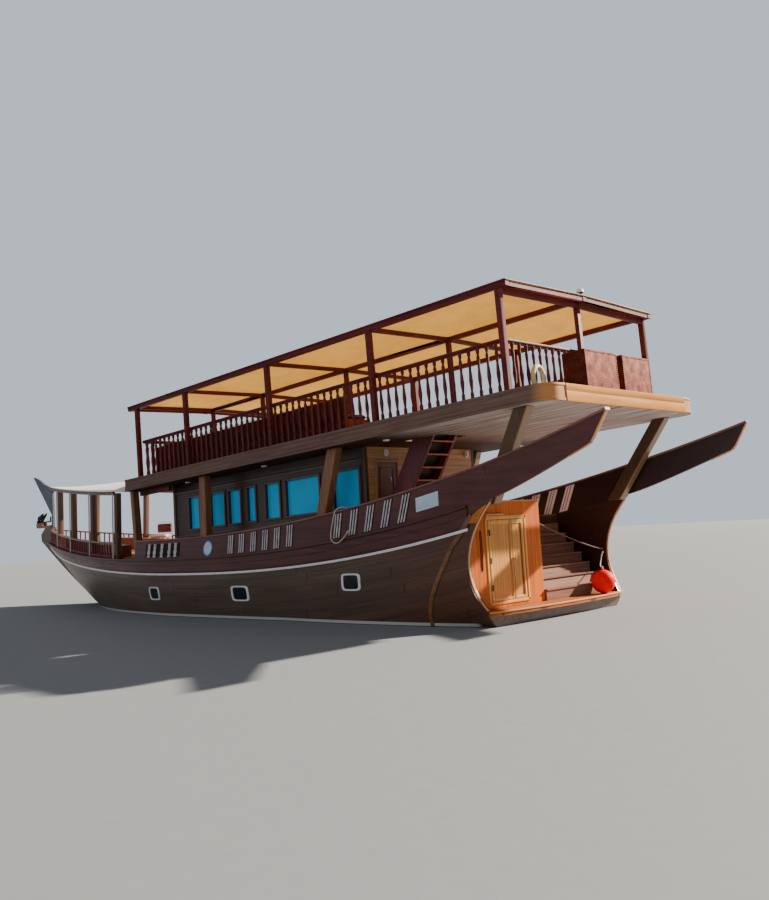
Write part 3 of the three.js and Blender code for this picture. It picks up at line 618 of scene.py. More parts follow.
# Woods: light and dark tone, grain, roughness, coat, specular level, streaks, boards
looks = {
    "hull": hullFinish("hull_timber", "place"),
    "planking": hullFinish("hull_planking", "flow"),
    "wale": shadedInside(woodFinish("wale_paint", (100, 48, 47), (64, 27, 27), "x", 0.42, 0.1, streak=10)),
    # the fascia's aft-facing faces turn to the aft boards' tone, painted sunlight
    "fascia": sunlitAft(woodFinish("fascia", (137, 109, 98), (94, 70, 63), "x", 0.6, 0, 0.15, source="flow",
                                 boards=("y", 0.105, 0.005, 5.0)), (196, 136, 80), 0.9),
    # aft boards: a paler wood than the sides, made lighter still as painted sunlight
    "aftFascia": woodFinish("aft_fascia", (216, 150, 80), (186, 118, 52), "x", 0.7, 0, 0.05, 14, source="flow"),
    # aft pillars: their aft-facing faces painted lighter, painted sunlight
    "pillarDark": sunlitAft(woodFinish("pillar_dark", (92, 62, 34), (52, 34, 18), "z", 0.42, 0.1),
                          (168, 128, 84), 0.5),
    "mahogany": woodFinish("mahogany", (120, 44, 46), (70, 22, 27), "x", 0.55, 0, 0.2, 16),
    "mahoganyUp": woodFinish("mahogany_upright", (120, 46, 48), (70, 23, 28), "z", 0.5, 0, 0.25),
    "timber": woodFinish("timber", (158, 104, 62), (90, 54, 32), "z", 0.42, 0.2),
    "wallBoards": woodFinish("wall_boards", (216, 158, 96), (158, 104, 58), "y", 0.35, 0.3,
                             boards=("z", 0.14, 0.006, 3.7)),
    # the cabin's side and front walls, darker than the aft wall's boards: a painted shade
    "wallShaded": woodFinish("wall_shaded", (72, 52, 46), (42, 29, 26), "x", 0.35, 0.3,
                           boards=("z", 0.16, 0.005, 3.1)),
    "frameDark": woodFinish("frame_dark", (94, 60, 50), (58, 34, 30), "z", 0.32, 0.35),
    "doorWood": woodFinish("door_wood", (238, 170, 88), (192, 122, 54), "z", 0.5, 0, 0.2,
                           boards=("y", 0.092, 0.004, 9.0)),
    "doorFrame": woodFinish("door_frame", (246, 186, 104), (206, 136, 66), "z", 0.5, 0, 0.2),
    "doorTrim": woodFinish("door_trim", (196, 140, 92), (140, 90, 54), "z", 0.35, 0.3),
    "redDoor": woodFinish("red_door", (160, 96, 66), (108, 58, 38), "z", 0.35, 0.3),
    "cabinet": woodFinish("cabinet_varnish", (230, 120, 34), (174, 78, 22), "z", 0.5, 0, 0.12, 12),
    "trim": woodFinish("pale_trim", (226, 168, 122), (184, 122, 80), "z", 0.5, 0, 0.2),
    "tread": woodFinish("tread", (148, 106, 90), (102, 72, 60), "y", 0.8, 0, 0.1),
    "deck": woodFinish("deck_boards", *deckWood, boards=("y", 0.11, 0.006, 4.2)),
    "upperDeck": deckFinish(),
    "platform": woodFinish("platform_boards", (190, 104, 22), (134, 64, 10), "y", 0.55, 0, 0.25,
                           boards=("x", 0.10, 0.006, 3.3)),
    "bench": woodFinish("bench_varnish", (176, 88, 40), (120, 54, 24), "x", 0.35, 0.3),
    "greyWood": woodFinish("grey_wood", (96, 108, 122), (60, 66, 74), "x", 0.5, 0.05),
    "quarterWood": woodFinish("quarter_varnish_sunlit", (224, 134, 48), (160, 82, 24), "x", 0.4, 0.1, 0.2),
    "edgeWood": woodFinish("edge_wood", (214, 150, 96), (170, 106, 60), "y", 0.5, 0.05),
    "ladderWood": woodFinish("ladder_wood", (126, 44, 52), (70, 20, 26), "z", 0.35, 0.3),
    "ladderEdge": woodFinish("ladder_edge", (226, 120, 92), (176, 76, 52), "z", 0.4, 0.2),
    "ladderShade": woodFinish("ladder_back", (46, 18, 20), (26, 8, 10), "z", 0.5, 0.1),
    "postFace": woodFinish("post_face", (206, 188, 178), (164, 144, 134), "z", 0.5, 0.1),
    "capRail": woodFinish("cap_rail", (146, 96, 84), (96, 56, 50), "x", 0.35, 0.3),
    "battenWood": woodFinish("batten_wood", (150, 98, 48), (88, 54, 28), "x", 0.35, 0.4),
    "bowTimber": woodFinish("bow_timber", (118, 80, 60), (70, 44, 34), "z", 0.4, 0.2),
    "slat": plainFinish("slat_paint", (214, 206, 206), (178, 168, 170), 0.5),
    "slatLightThrough": plainFinish("slat_back", (250, 244, 246), (236, 226, 230), 0.5),
    "dark": plainFinish("shadow_panel", (20, 12, 12), (12, 8, 8), 0.8),
    "white": plainFinish("white_paint", (246, 246, 246), (230, 230, 230), 0.35, coat=0.2),
    "steel": plainFinish("bright_steel", (200, 202, 206), (160, 164, 170), 0.22, 1.0, scale=20),
    "brass": plainFinish("brass", (214, 170, 90), (170, 124, 56), 0.25, 1.0, scale=20),
    "bronze": plainFinish("bronze", (176, 132, 66), (120, 84, 40), 0.3, 1.0, scale=12),
    "iron": plainFinish("black_iron", (44, 44, 46), (26, 26, 28), 0.5, 0.6, scale=14, bump=0.001),
    "fender": plainFinish("fender_rubber", (255, 0, 0), (240, 0, 0), 0.5, specular=0.08),
    "boardRed": plainFinish("red_board", (236, 8, 44), (206, 4, 32), 0.4, coat=0.3),
    "badge": plainFinish("bare_plate", (206, 224, 236), (186, 208, 224), 0.4),
    "badgeRim": plainFinish("badge_rim", (84, 150, 206), (60, 124, 184), 0.35, coat=0.2),
    "darkGlass": plainFinish("porthole_glass", (10, 26, 34), (5, 12, 18), 0.12, coat=0.2),
    "floor": plainFinish("floor_paint", studio["floor"], studio["floor"], 0.7),
    "canvas": clothFinish("canopy_canvas", (246, 218, 150), (236, 202, 128), 220, through=0.58),
    "awningCloth": clothFinish("awning_cloth", (250, 250, 246), (238, 236, 230), 240, through=0.35),
    "paleCloth": clothFinish("pale_cushion", (246, 214, 196), (226, 186, 166), 260, sheen=0.4),
    "cushionCloth": clothFinish("cushion_cloth", (126, 28, 40), (84, 15, 27), 260, sheen=0.5),
    "buoyCloth": clothFinish("buoy_cloth", (240, 222, 170), (214, 192, 136), 300, rough=0.6),
    "glass": glassFinish(),
    "wicker": wickerFinish(),
    "rope": ropeFinish("rope_strands", (232, 226, 210), (196, 188, 170), (110, 98, 78)),
    "ropeDark": ropeFinish("dark_rope", (128, 96, 82), (88, 60, 52), (44, 28, 24)),
}
finishes = {key: look.material for key, look in looks.items()}
print("finishes made:", len(finishes))


# Padded pieces. The plain form is a squashed ball: x = cos^p a cos^q b, y = cos^p a sin^q b, z = sin^r a, where
# p, q and r are the powers rise, round and crown.
cushions = {"voxel": 0.030, "inset": 0.016, "pressure": 4.0, "cap": 0.030, "frames": 20, "piping": 0.007,
            "rise": 0.40, "round": 0.30, "crown": 0.65, "seamInset": 0.008}


def rounded(size, count=18):
    half = np.asarray(size, float) / 2
    a, b = np.linspace(-math.pi / 2, math.pi / 2, count)[:, None], angles(2 * count)[None]
    out = power(np.cos(a), cushions["rise"])
    ring = [out * power(np.cos(b), cushions["round"]), out * power(np.sin(b), cushions["round"]),
            power(np.sin(a), cushions["crown"]) * np.ones_like(b)]
    order = {0: [2, 0, 1], 1: [1, 2, 0], 2: [0, 1, 2]}[int(np.argmin(half))]
    return skin(np.stack([ring[k] for k in order], -1) * half)


def evaluated(thing):  # its mesh with the modifiers applied
    return bpy.data.meshes.new_from_object(thing.evaluated_get(bpy.context.evaluated_depsgraph_get()))


def pointsOf(mesh):
    points = np.empty(len(mesh.vertices) * 3)
    mesh.vertices.foreach_get("co", points)
    return points.reshape(-1, 3)


# A pad blown up as cloth from a slightly smaller form; no point moves further than the cap or out of the size
def inflated(size):
    half = np.asarray(size, float) / 2
    points, quads, tris = rounded(np.asarray(size) - 2 * cushions["inset"], 26)
    mesh = bpy.data.meshes.new("pad_start")
    mesh.from_pydata(points[:, :3].tolist(), [], quads.tolist() + tris.tolist())
    start = placed("pad_start", mesh)
    remesh = start.modifiers.new("remesh", "REMESH")
    remesh.mode, remesh.voxel_size = "VOXEL", cushions["voxel"]
    pad = placed("pad_cloth", evaluated(start))
    rest = pointsOf(pad.data)
    cloth = pad.modifiers.new("cloth", "CLOTH")
    cloth.settings.use_pressure, cloth.settings.uniform_pressure_force = True, cushions["pressure"]
    cloth.settings.effector_weights.gravity = 0
    cloth.settings.quality = 6
    for number in range(1, cushions["frames"] + 1):
        bpy.context.scene.frame_set(number)
    blown = evaluated(pad)
    move = pointsOf(blown) - rest
    far = np.linalg.norm(move, axis=1, keepdims=True)
    move *= np.minimum(1, cushions["cap"] / np.maximum(far, 1e-9))
    blown.vertices.foreach_set("co", np.clip(rest + move, -half, half).ravel())
    smooth = placed("pad_smooth", blown)
    finer = smooth.modifiers.new("finer", "SUBSURF")
    finer.levels = finer.render_levels = 1
    done = evaluated(smooth)
    corners = np.array([list(p.vertices) + [-1] * (4 - len(p.vertices)) for p in done.polygons])
    for item in (start, pad, smooth):
        bpy.data.objects.remove(item)
    bpy.context.scene.frame_set(1)
    print("pad blown up:", size, "moved up to", round(float(far.max()), 3), "m,", len(corners), "faces")
    return pointsOf(done), corners[corners[:, 3] >= 0], corners[corners[:, 3] < 0][:, :3]


# The pad with a piped seam round it, halfway through its thickness
def cushion(size):
    pad = inflated(size)
    half = np.asarray(size, float) / 2
    thin = int(np.argmin(half))
    wide = [k for k in range(3) if k != thin]
    seam, out, over = np.zeros((72, 3)), np.zeros((72, 3)), np.eye(3)[thin]
    out[:, wide] = grid(np.cos(angles(72)), np.sin(angles(72)))
    seam[:, wide] = (half[wide] - cushions["seamInset"]) * power(out[:, wide], cushions["round"])
    turn = angles(6)[None, :, None]
    ring = seam[:, None] + cushions["piping"] * (np.cos(turn) * out[:, None] + np.sin(turn) * over)
    return joined([pad, skin(ring, loop=True)])


# Ropes first: each follows the points that its solid has
ropes = {
    "hand_rope": {"end": "object", "lay": "hanging", "points": [
        (-10.560, 0.088, 1.965), (-10.560, 0.020, 1.958), (-10.562, -0.300, 1.845), (-10.568, -0.800, 1.682),
        (-10.575, -1.300, 1.530), (-10.584, -1.800, 1.394), (-10.593, -2.200, 1.302), (-10.600, -2.360, 1.280)]},
    "fender_rope": {"end": "object", "lay": "hanging", "points": [
        (-10.610, -2.360, 1.200), (-10.612, -2.310, 1.150), (-10.630, -2.230, 1.040), (-10.680, -2.110, 0.940),
        (-10.770, -1.970, 0.890), (-10.870, -1.840, 0.888), (-10.945, -1.750, 0.905), (-10.982, -1.706, 0.893),
        (-10.985, -1.700, 0.862)]},
    "side_rope": {"end": "knot", "lay": "hanging", "points": [
        (-7.290, 2.400, 2.425), (-7.270, 2.440, 2.500), (-7.210, 2.530, 2.547), (-7.130, 2.640, 2.540),
        (-7.085, 2.708, 2.480), (-7.060, 2.730, 2.380), (-7.010, 2.745, 2.200), (-6.965, 2.762, 2.000),
        (-6.975, 2.775, 1.880), (-7.040, 2.783, 1.805), (-7.140, 2.787, 1.775), (-7.250, 2.785, 1.795),
        (-7.360, 2.778, 1.860), (-7.450, 2.768, 1.940), (-7.510, 2.757, 2.010)]},
}


# Three strands laid round each other: radius = R (1 - groove (1 - sin(3 turn - run / pitch)))
def ropePart(line):
    tangent = unit(np.gradient(line, axis=0))
    side, carriedSides = unit(np.cross(tangent[0], (0.3, 0.2, 0.93))), []
    for t in tangent:  # carries the side vector along without twist
        side = unit(side - t * (side @ t))
        carriedSides.append(side)
    side = np.array(carriedSides)
    over = np.cross(tangent, side)
    run, turn = lengthsAlong(line)[:, None], np.linspace(0, 1, rope["sides"], endpoint=False)[None]
    angle = 2 * math.pi * turn
    wave = np.sin(rope["strands"] * angle - 2 * math.pi * run / rope["pitch"])
    r = rope["radius"] * (1 - rope["groove"] * (1 - wave))
    across, upward = (r * np.cos(angle))[..., None], (r * np.sin(angle))[..., None]
    rings = line[:, None] + across * side[:, None] + upward * over[:, None]
    return skin(np.concatenate([rings, grid(run, turn)], -1))


def knot(centre, radius):  # a round hitch, as a ball of three turns
    t = np.linspace(-1, 1, 13)
    bulge = np.sqrt(np.maximum(1 - t**2, 0.02)) * (1 + 0.10 * np.cos(9 * t))
    return moved(turned(radius * grid(bulge, t), 16), centre)


def buildRopes():
    for name, facts in ropes.items():
        points = facts["points"]
        line, length = smoothLine(points, 60 * len(points))
        look = "ropeDark" if name == "hand_rope" else "rope"
        piece = buildPiece(name + "_laid", [ropePart(line)], look, replaces=name, sharp=180)
        ends = [knot(points[0], 0.024)] if name != "side_rope" else []
        ends.append(knot(points[-1], 0.022))
        knots = buildPiece(name + "_knots", ends, look, sharp=180)
        print("rope", name, round(length, 3), "m")


buildRopes()

# Lines of the hull, as functions of the distance x from amidships: the deck edge's height and half breadth, the
# cap's height, the rabbet where the planking meets keel and stem, and the white line
lines = {
    "bow": 12.97, "bowEnd": 12.3, "gate": 1.6, "recess": -9.3, "heel": -10.98, "knee": -11.27, "wingTip": -14.12,
    "halfBeam": 2.8, "sternNarrower": 0.29, "sheer": 1.55, "sheerAft": 0.88, "sheerFore": 0.79, "sternLength": 11.04,
    "cap": 2.09, "wingRise": 1.71, "wingLength": 13.98, "foreBulwark": 0.54, "keelTop": -1.35, "keelFore": 3.0,
    "keelAft": -4.0, "stemLength": 10.25, "stripeDrop": 0.4}


def sheerZ(x):
    aft = lines["sheerAft"] * (np.maximum(-x, 0) / lines["sternLength"]) ** 2.6
    fore = lines["sheerFore"] * (np.maximum(x, 0) / lines["bow"]) ** 1.9
    return lines["sheer"] + np.where(x < 0, aft, fore)


def railZ(x):
    wing = lines["wingRise"] * (np.maximum(-x, 0) / lines["wingLength"]) ** 2.2
    return np.where(x < 0, lines["cap"] + wing, sheerZ(x) + lines["foreBulwark"])


def sheerHalf(x):
    half, fore = lines["halfBeam"], np.maximum(x, 0) / lines["bow"]
    return np.where(x < 0, half - lines["sternNarrower"] * (x / lines["knee"]) ** 2, half * (1 - fore**1.65))


def rabbetZ(x):
    rise = clamp((x - lines["keelFore"]) / lines["stemLength"], 0, 1)
    aft = 1.05 * (np.maximum(lines["keelAft"] - x, 0) / 7) ** 1.6
    return lines["keelTop"] + np.where(x < lines["keelAft"], aft, 4.04 * rise**1.5 - 0.2 * rise)


def stripeZ(x):
    low, high = rabbetZ(x), sheerZ(x)
    drop = lines["stripeDrop"] - 0.1 * clamp(x / lines["bow"], 0, 1) + 0.06 * clamp(x / lines["knee"], 0, 1)
    return np.maximum(high - drop, low + 0.5 * (high - low))


# Half breadth of the hull at a height: b (1 - (1 - t)^a)^(1/c), t being the share of the way to the deck edge
def hullHalf(x, z):
    low = rabbetZ(x)
    t = clamp((z - low) / (sheerZ(x) - low), 0, 1)
    aft, fore = clamp((-x - 5) / 6, 0, 1), clamp(x / lines["bow"], 0, 1)
    share = (1 - (1 - t) ** (3 + 5 * aft - 1.9 * fore)) ** (1 / (2 + aft - 0.95 * fore))
    return 0.015 + (sheerHalf(x) - 0.015) * share


# The curved aft edge of the quarters: the parabola x = sum of x_i times the product of (z - z_j) / (z_i - z_j)
cheek = [(-10.98, 0.31), (-10.66, 1.28), (-11.27, 2.43)]


def cheekX(z):
    total = 0.0
    for x, own in cheek:
        for other in [height for _, height in cheek if height != own]:
            x = x * ((z - other) / (own - other))
        total = total + x
    return total


def deckZ(x):
    return sheerZ(x) + 0.031


# Underside of the upper deck over a place on the boat
def underZ(x):
    s, c = math.sin(upper["pitch"]), math.cos(upper["pitch"])
    return upper["foot"][2] - s * ((x - upper["foot"][0] + s * upper["thick"]) / c) - c * upper["thick"]


def sidePieces(name, parts, finish, nodes=(), sharp=40):
    for side, flip in sides.items():
        buildPiece(f"{name}_{side}", [flip(joined(parts))], finish, sharp=sharp,
                   replaces=[f"{node}_{side}" for node in nodes])


# Planking: (s, t) runs from the stern edge to the stem and from the keel up to the wale; y is the half breadth
# there, and the skin stands a little off it along the surface's normal. Strakes are equal shares of the girth.
planking = {"strakes": 19, "proud": 0.012, "fore": 12.88}


def hullPlanking():
    s, t = np.linspace(0, 1, 231)[:, None], np.linspace(0, 1, 65)[None]

    def level(x):
        return rabbetZ(x) + 0.004 + (stripeZ(x) + 0.03 - rabbetZ(x)) * t**1.35

    aft = np.full_like(t, lines["heel"])
    for _ in range(12):
        z = level(aft)
        aft = np.where(z > cheek[0][1], cheekX(np.minimum(z, cheek[2][1])), lines["heel"])
    x = aft + (planking["fore"] - aft) * s
    z = level(x)
    surface = grid(x, hullHalf(x, z), z)
    normal = unit(np.cross(np.gradient(surface, axis=0), np.gradient(surface, axis=1)))
    normal *= np.sign(normal[..., 1:2].sum())
    girth = np.cumsum(np.linalg.norm(np.diff(surface, axis=1, prepend=surface[:, :1]), axis=2), axis=1)
    strake = planking["strakes"] * girth / girth[:, -1:]
    flow = grid(x, strake)
    outer = np.concatenate([surface + planking["proud"] * normal, flow], -1)
    inner = np.concatenate([surface + 0.001 * normal, flow], -1)
    sidePieces("planking", [shell(outer, inner)], "planking", sharp=60)


# Wale: a thick band outside the planking between the white line and the deck edge, with two beads along it
wale = {"aft": -10.75, "thick": 0.032, "beads": [(0.985, 0.030, 0.055), (0.60, 0.016, 0.035)],
        "line": (0.028, 0.058)}


def hullBand(x, share, out):  # a path along the band at a share of its height
    z = stripeZ(x) + share * (sheerZ(x) - stripeZ(x))
    return grid(x, hullHalf(x, z) + out, z)


def waleBand():
    x, t = np.linspace(wale["aft"], lines["bowEnd"], 200)[:, None], np.linspace(0, 1, 9)[None]
    low, high = stripeZ(x), sheerZ(x) - 0.001
    z = low + (high - low) * t
    edge = wale["thick"] * (1 - np.abs(2 * t - 1) ** 14 * 0.5)
    y = hullHalf(x, z)
    outer = grid(x, y + edge, z)
    inner = grid(x, y + 0.001, z)
    along = np.linspace(wale["aft"] + 0.01, lines["bowEnd"] - 0.02, 200)
    parts = [shell(outer, inner)]
    for share, thick, tall in wale["beads"]:
        path = hullBand(along, share, wale["thick"] + thick / 2 - 0.006)
        parts.append(skin(carried(path, roundRect(thick, tall, thick * 0.4))))
    sidePieces("wale_band", parts, "wale", ["wale"])
    thick, tall = wale["line"]
    path = hullBand(along, 0.0, wale["thick"] + 0.002)
    sidePieces("white_line", [skin(carried(path, roundRect(thick, tall, 0.012)))], "white")


# Bulwark: rows run from the wing's tip to the gate; each row is a straight side from its foot to the cap
bulwark = {"thick": 0.08, "cap": (0.135, 0.045)}


def bulwarkRows():
    s = np.linspace(1, 0, 40)[:-1]
    wing = grid(lines["knee"] - 2.5 * s, 2.51 + 0.28 * s, 2.452 + 0.828 * s**1.1 + 0.027 * (1 - s) ** 8)
    tip = lines["knee"] + (lines["wingTip"] - lines["knee"]) * s
    wingTop = grid(tip, 2.6 + 0.16 * s, railZ(tip))
    x = np.linspace(lines["knee"], lines["gate"], 90)
    foot = grid(x, sheerHalf(x), sheerZ(x) + 0.001)
    top = grid(x, sheerHalf(x) + topLean(x), railZ(x))
    return np.concatenate([wing, foot]), np.concatenate([wingTop, top])


def topLean(x):
    return np.where(x < 0, -0.08 + 0.17 * (x / lines["knee"]) ** 2, -0.08)


# A point on the bulwark's outer face at x, at a share of its height, standing out by a distance
def onBulwark(x, share, out):
    z = sheerZ(x) + share * (railZ(x) - sheerZ(x))
    return grid(x, sheerHalf(x) + topLean(x) * share + out, z)


def bulwarks():
    foot, top = bulwarkRows()
    t = np.linspace(0, 1, 7)[None, :, None]
    outer = foot[:, None] * (1 - t) + top[:, None] * t
    inner = outer - [0, bulwark["thick"], 0]
    middle = np.array([0, bulwark["thick"] / 2, 0])
    sidePieces("bulwark", [shell(outer, inner)], "wale", ["bulwark_wing", "bulwark_mid"])
    cap = skin(carried(top - middle - [0, 0, 0.012], roundRect(*bulwark["cap"], 0.014)))
    sidePieces("cap_rail", [cap], "capRail")
    tipFoot, tipTop = foot[0] - middle, top[0] - middle
    tip = tipTop + (tipFoot - tipTop) * np.linspace(0.04, 0.86, 6)[:, None]
    edge = smoothLine(np.concatenate([tip, foot[1:9] - middle]), 40)[0] - [0.004, 0, 0.004]
    strip = skin(carried(edge, roundRect(0.080, 0.020, 0.006), (-1, 0, -0.3)))
    sidePieces("wing_edge", [strip], "trim")


# Groups of slats let into the bulwark, both sides of the board: outside, a dark panel with bars over it,
# a painted shade of the openings; inside, a white panel crossed by strips, painted daylight seen through them
slats = {"groups": [-3.16, -3.61, -4.08, -4.54, -4.98, -5.44, -7.06, -7.55, -8.03, -8.52, -9.01],
         "last": -9.50, "bars": 3, "step": 0.080, "width": 0.036, "low": 0.09, "high": 0.90, "lean": 0.42}


def leanedPatch(x, low, high, width, out, inward):
    share = np.linspace(low, high, 5)[:, None]
    lean = slats["lean"] * clamp((-x - 3) / 6.2, 0, 1) ** 1.8
    rise = (share - low) * (railZ(x) - sheerZ(x))
    across = x - lean * rise + np.linspace(-0.5, 0.5, 3)[None] * width
    outer = onBulwark(across, share, out)
    return shell(outer, outer - [0, inward, 0])


def bulwarkSlats():
    low, high, step, count = slats["low"], slats["high"], slats["step"], slats["bars"]
    inside = -bulwark["thick"]
    offsets = (np.arange(count) - (count - 1) / 2) * step
    panel = (low - 0.02, high + 0.02, count * step + 0.01)
    for side, flip in sides.items():
        groups = slats["groups"] + ([slats["last"]] if side == "starboard" else [])
        bars = [x + offset for x in groups for offset in offsets]
        rows = {
            "slat_panels": ("dark", None, [leanedPatch(x, *panel, 0.005, 0.008) for x in groups]),
            "slats": ("slat", "white", [leanedPatch(x, low, high, slats["width"], 0.016, 0.02) for x in bars]),
            "slat_backs": ("slatLightThrough", "white",
                           [leanedPatch(x, *panel, inside + 0.004, 0.008) for x in groups]),
            "slat_gaps": ("mahoganyUp", "mahogany",
                          [leanedPatch(x + 0.04, low, high, 0.014, inside + 0.003, 0.012) for x in bars])}
        for name, (finish, slot, parts) in rows.items():
            buildPiece(f"{name}_{side}", [flip(p) for p in parts], finish)


# Turned balusters by the gate, in front of a dark panel, a painted shade of the space behind them
gateBalusters = {"x": [0.72, 0.40, 0.02, -0.36, -0.66], "span": (-0.86, 0.92), "low": 0.12, "high": 0.80,
                 "stout": 2.3, "flat": 0.45}
balusterShape = np.array([(0.030, 0.0), (0.030, 0.10), (0.018, 0.15), (0.034, 0.36), (0.020, 0.60), (0.030, 0.80),
                          (0.018, 0.86), (0.030, 0.92), (0.030, 1.0)])


def gateSection():
    panels, sticks = [], []
    low, high = gateBalusters["low"], gateBalusters["high"]
    x, share = np.linspace(*gateBalusters["span"], 9)[None], np.linspace(low, high, 5)[:, None]
    for out in (0.005, -bulwark["thick"] + 0.003):
        outer = onBulwark(x + 0 * share, share + 0 * x, out)
        panels.append(shell(outer, outer - [0, 0.008, 0]))
    radius, angle = gateBalusters["stout"] * balusterShape[:, :1], angles(12)[None]
    ring = grid(radius * np.cos(angle), gateBalusters["flat"] * radius * np.sin(angle), 0)
    for x in gateBalusters["x"]:
        foot, top = onBulwark(x, low, 0.010), onBulwark(x, high, 0.010)
        path = foot + (top - foot) * balusterShape[:, 1:]
        sticks.append(skin(path[:, None] + ring))
    sidePieces("gate_panel", panels, "dark")
    sidePieces("gate_balusters", sticks, "slat", sharp=60)


# Bare round badge and blank plate on the port bulwark, and the joint between bulwark and wing
badge = {"x": -2.18, "share": 0.42, "plateX": [[-9.45, -10.05], [-9.47, -10.07]],
         "plateShare": [[0.27, 0.27], [0.69, 0.69]]}


def badgeAndPlate():
    for name, radius, out, finish in (("badge_rim", 0.20, 0.012, "badgeRim"),
                                      ("badge_face", 0.165, 0.017, "badge")):
        x = badge["x"] + radius * np.cos(angles(32))
        share = badge["share"] + radius * np.sin(angles(32)) / 0.56
        rings = np.stack([onBulwark(x, share, out), onBulwark(x, share, -0.004)])
        buildPiece(name, [skin(rings)], finish)
    share = np.linspace(0.02, 0.98, 9)[:, None]
    groove = onBulwark(lines["knee"] + 0.06 * (share - 1) + np.array([[-0.008, 0.008]]), share, 0.002)
    sidePieces("wing_joint", [shell(groove, groove - [0, 0.01, 0])], "dark")
    plate = onBulwark(np.array(badge["plateX"]), np.array(badge["plateShare"]), 0.014)
    buildPiece("number_plate_blank", [shell(plate, plate - [0, 0.014, 0])], "badge")


# Portholes: a rounded-square frame and dark glass on the hull's side; cos^p and sin^p square the circle off
portholes = {"at": [(-7.45, 0.915, 0.58, 0.38), (-3.46, 0.65, 0.70, 0.385), (0.505, 0.625, 0.55, 0.37)],
             "power": 0.36,
             "frame": [(1.0, 0.004), (1.0, 0.030), (0.96, 0.040), (0.84, 0.040), (0.79, 0.032), (0.79, 0.008)],
             "pane": [(0.80, 0.010), (0.80, 0.022)]}


def hullPortholes():
    u, v = (power(wave(angles(40)), portholes["power"]) for wave in (np.cos, np.sin))

    def rings(hole, rows):
        x0, z0, wide, tall = hole
        places = [(x0 + k * wide / 2 * u, z0 + k * tall / 2 * v, out) for k, out in rows]
        return [grid(x, hullHalf(x, z) + out, z) for x, z, out in places]

    frames = [skin(np.stack(rings(hole, portholes["frame"]), 1), loop=True) for hole in portholes["at"]]
    panes = [skin(np.stack(rings(hole, portholes["pane"]))) for hole in portholes["at"]]
    sidePieces("porthole_frames", frames, "white")
    sidePieces("porthole_glass", panes, "darkGlass")


# Quarter: a light batten down the turn of the hull, the pale edging of the cheeks, the board under each wing,
# whose bright orange is its varnish made brighter as painted sunlight
quarter = {"batten": [(-10.845, 2.189), (-10.683, 2.003), (-10.52, 1.796), (-10.301, 1.569), (-10.127, 1.298),
                      (-9.951, 1.024), (-9.791, 0.747), (-9.678, 0.506), (-9.60, 0.25), (-9.56, 0.02)],
           "kneeX": -10.76}


def quarters():
    places = [(x, float(hullHalf(x, z)) + 0.022, z) for x, z in quarter["batten"]]
    batten = skin(carried(smoothLine(places, 60)[0], roundRect(0.034, 0.10, 0.012), (-1, 0, 0)))
    sidePieces("quarter_batten", [batten], "battenWood")
    z = np.linspace(0.33, 2.42, 50)
    x = cheekX(z)
    edge = grid(x - 0.006, hullHalf(np.maximum(x, -11.4), z) - 0.042, z)
    strip = skin(carried(edge, roundRect(0.05, 0.022, 0.008), (-1, 0, 0)))
    sidePieces("cheek_edge", [strip], "trim")
    # knee under the wing: its top edge rises aft as z = 2.03 + 0.36 (distance / 0.5)^0.6
    s, t = np.linspace(0.01, 1, 14)[:, None], np.linspace(0, 1, 8)[None]
    start = quarter["kneeX"]
    x = start - 0.4 * s
    for _ in range(6):
        z = 2.03 + 0.36 * (np.maximum(start - x, 0) / 0.5) ** 0.6 * t
        x = start + (cheekX(z) - start) * s
    face = grid(x, hullHalf(np.maximum(x, -11.4), z) + 0.036, z)
    sidePieces("quarter_board", [shell(face, face - [0, 0.03, 0])], "quarterWood")


print("hull pieces:")
for stage in (hullPlanking, waleBand, bulwarks, bulwarkSlats, gateSection, badgeAndPlate, hullPortholes,
              quarters):
    stage()
    print("  ", stage.__name__)


# Bow: open rail, long beam, posts and slats
bow = {"posts": [3.19, 5.43, 7.9, 10.3], "railTop": 0.505, "lean": 0.11, "post": (0.165, 0.165),
       "slats": 38, "firstSlat": 3.4, "slatStep": 0.236}


def awningEdge(x):
    return 3.54 + 0.64 * (np.maximum(x - 1.5, 0) / 8.4) ** 1.25


def bowSide(x):
    return sheerHalf(x) - 0.06


def bowRails():
    x = np.linspace(bow["posts"][0], lines["bowEnd"], 70)

    def strip(z, width, tall, radius):
        return skin(carried(grid(x, bowSide(x) - width / 2, z), roundRect(width, tall, radius)))

    def post(x0, out, lift, drop, *section):
        along = np.array([x0, x0 - bow["lean"]])
        y, foot, top = bowSide(along) + out, sheerZ(along)[0] + lift, awningEdge(along)[1] - drop
        return timber((along[0], y[0], foot), (along[1], y[1], top), *section, (1, 0, 0))

    beam = strip(awningEdge(x) - 0.055, 0.09, 0.11, 0.01)
    posts = [post(x0, -0.125, 0.008, 0.04, *bow["post"], 0.012) for x0 in bow["posts"]]
    faces = [post(x0 + bow["post"][0] / 2, 0.008, 0.004, 0.05, 0.02, 0.06, 0.005) for x0 in bow["posts"]]
    bars = [strip(sheerZ(x) + 0.06, 0.06, 0.10, 0.01)]
    for x0 in bow["firstSlat"] + bow["slatStep"] * np.arange(bow["slats"]):
        y0, low, high = bowSide(x0) - 0.035, sheerZ(x0) + 0.09, sheerZ(x0) + bow["railTop"] - 0.04
        bars.append(timber((x0, y0, low), (x0, y0, high), 0.06, 0.03, 0.006, (0, 1, 0)))
    cross = timber((0.23, 2.3, 3.56), (1.80, 2.3, 3.50), 0.10, 0.20, 0.012)
    sidePieces("fore_beam", [cross], "mahoganyUp")
    sidePieces("bow_post_faces", faces, "postFace")
    sidePieces("bow_posts", [beam, *posts], "bowTimber", ["bow_rail"])
    sidePieces("bow_slats", bars, "mahoganyUp")
    cap = strip(sheerZ(x) + bow["railTop"] - 0.025, 0.12, 0.05, 0.014)
    sidePieces("bow_cap", [cap], "capRail")


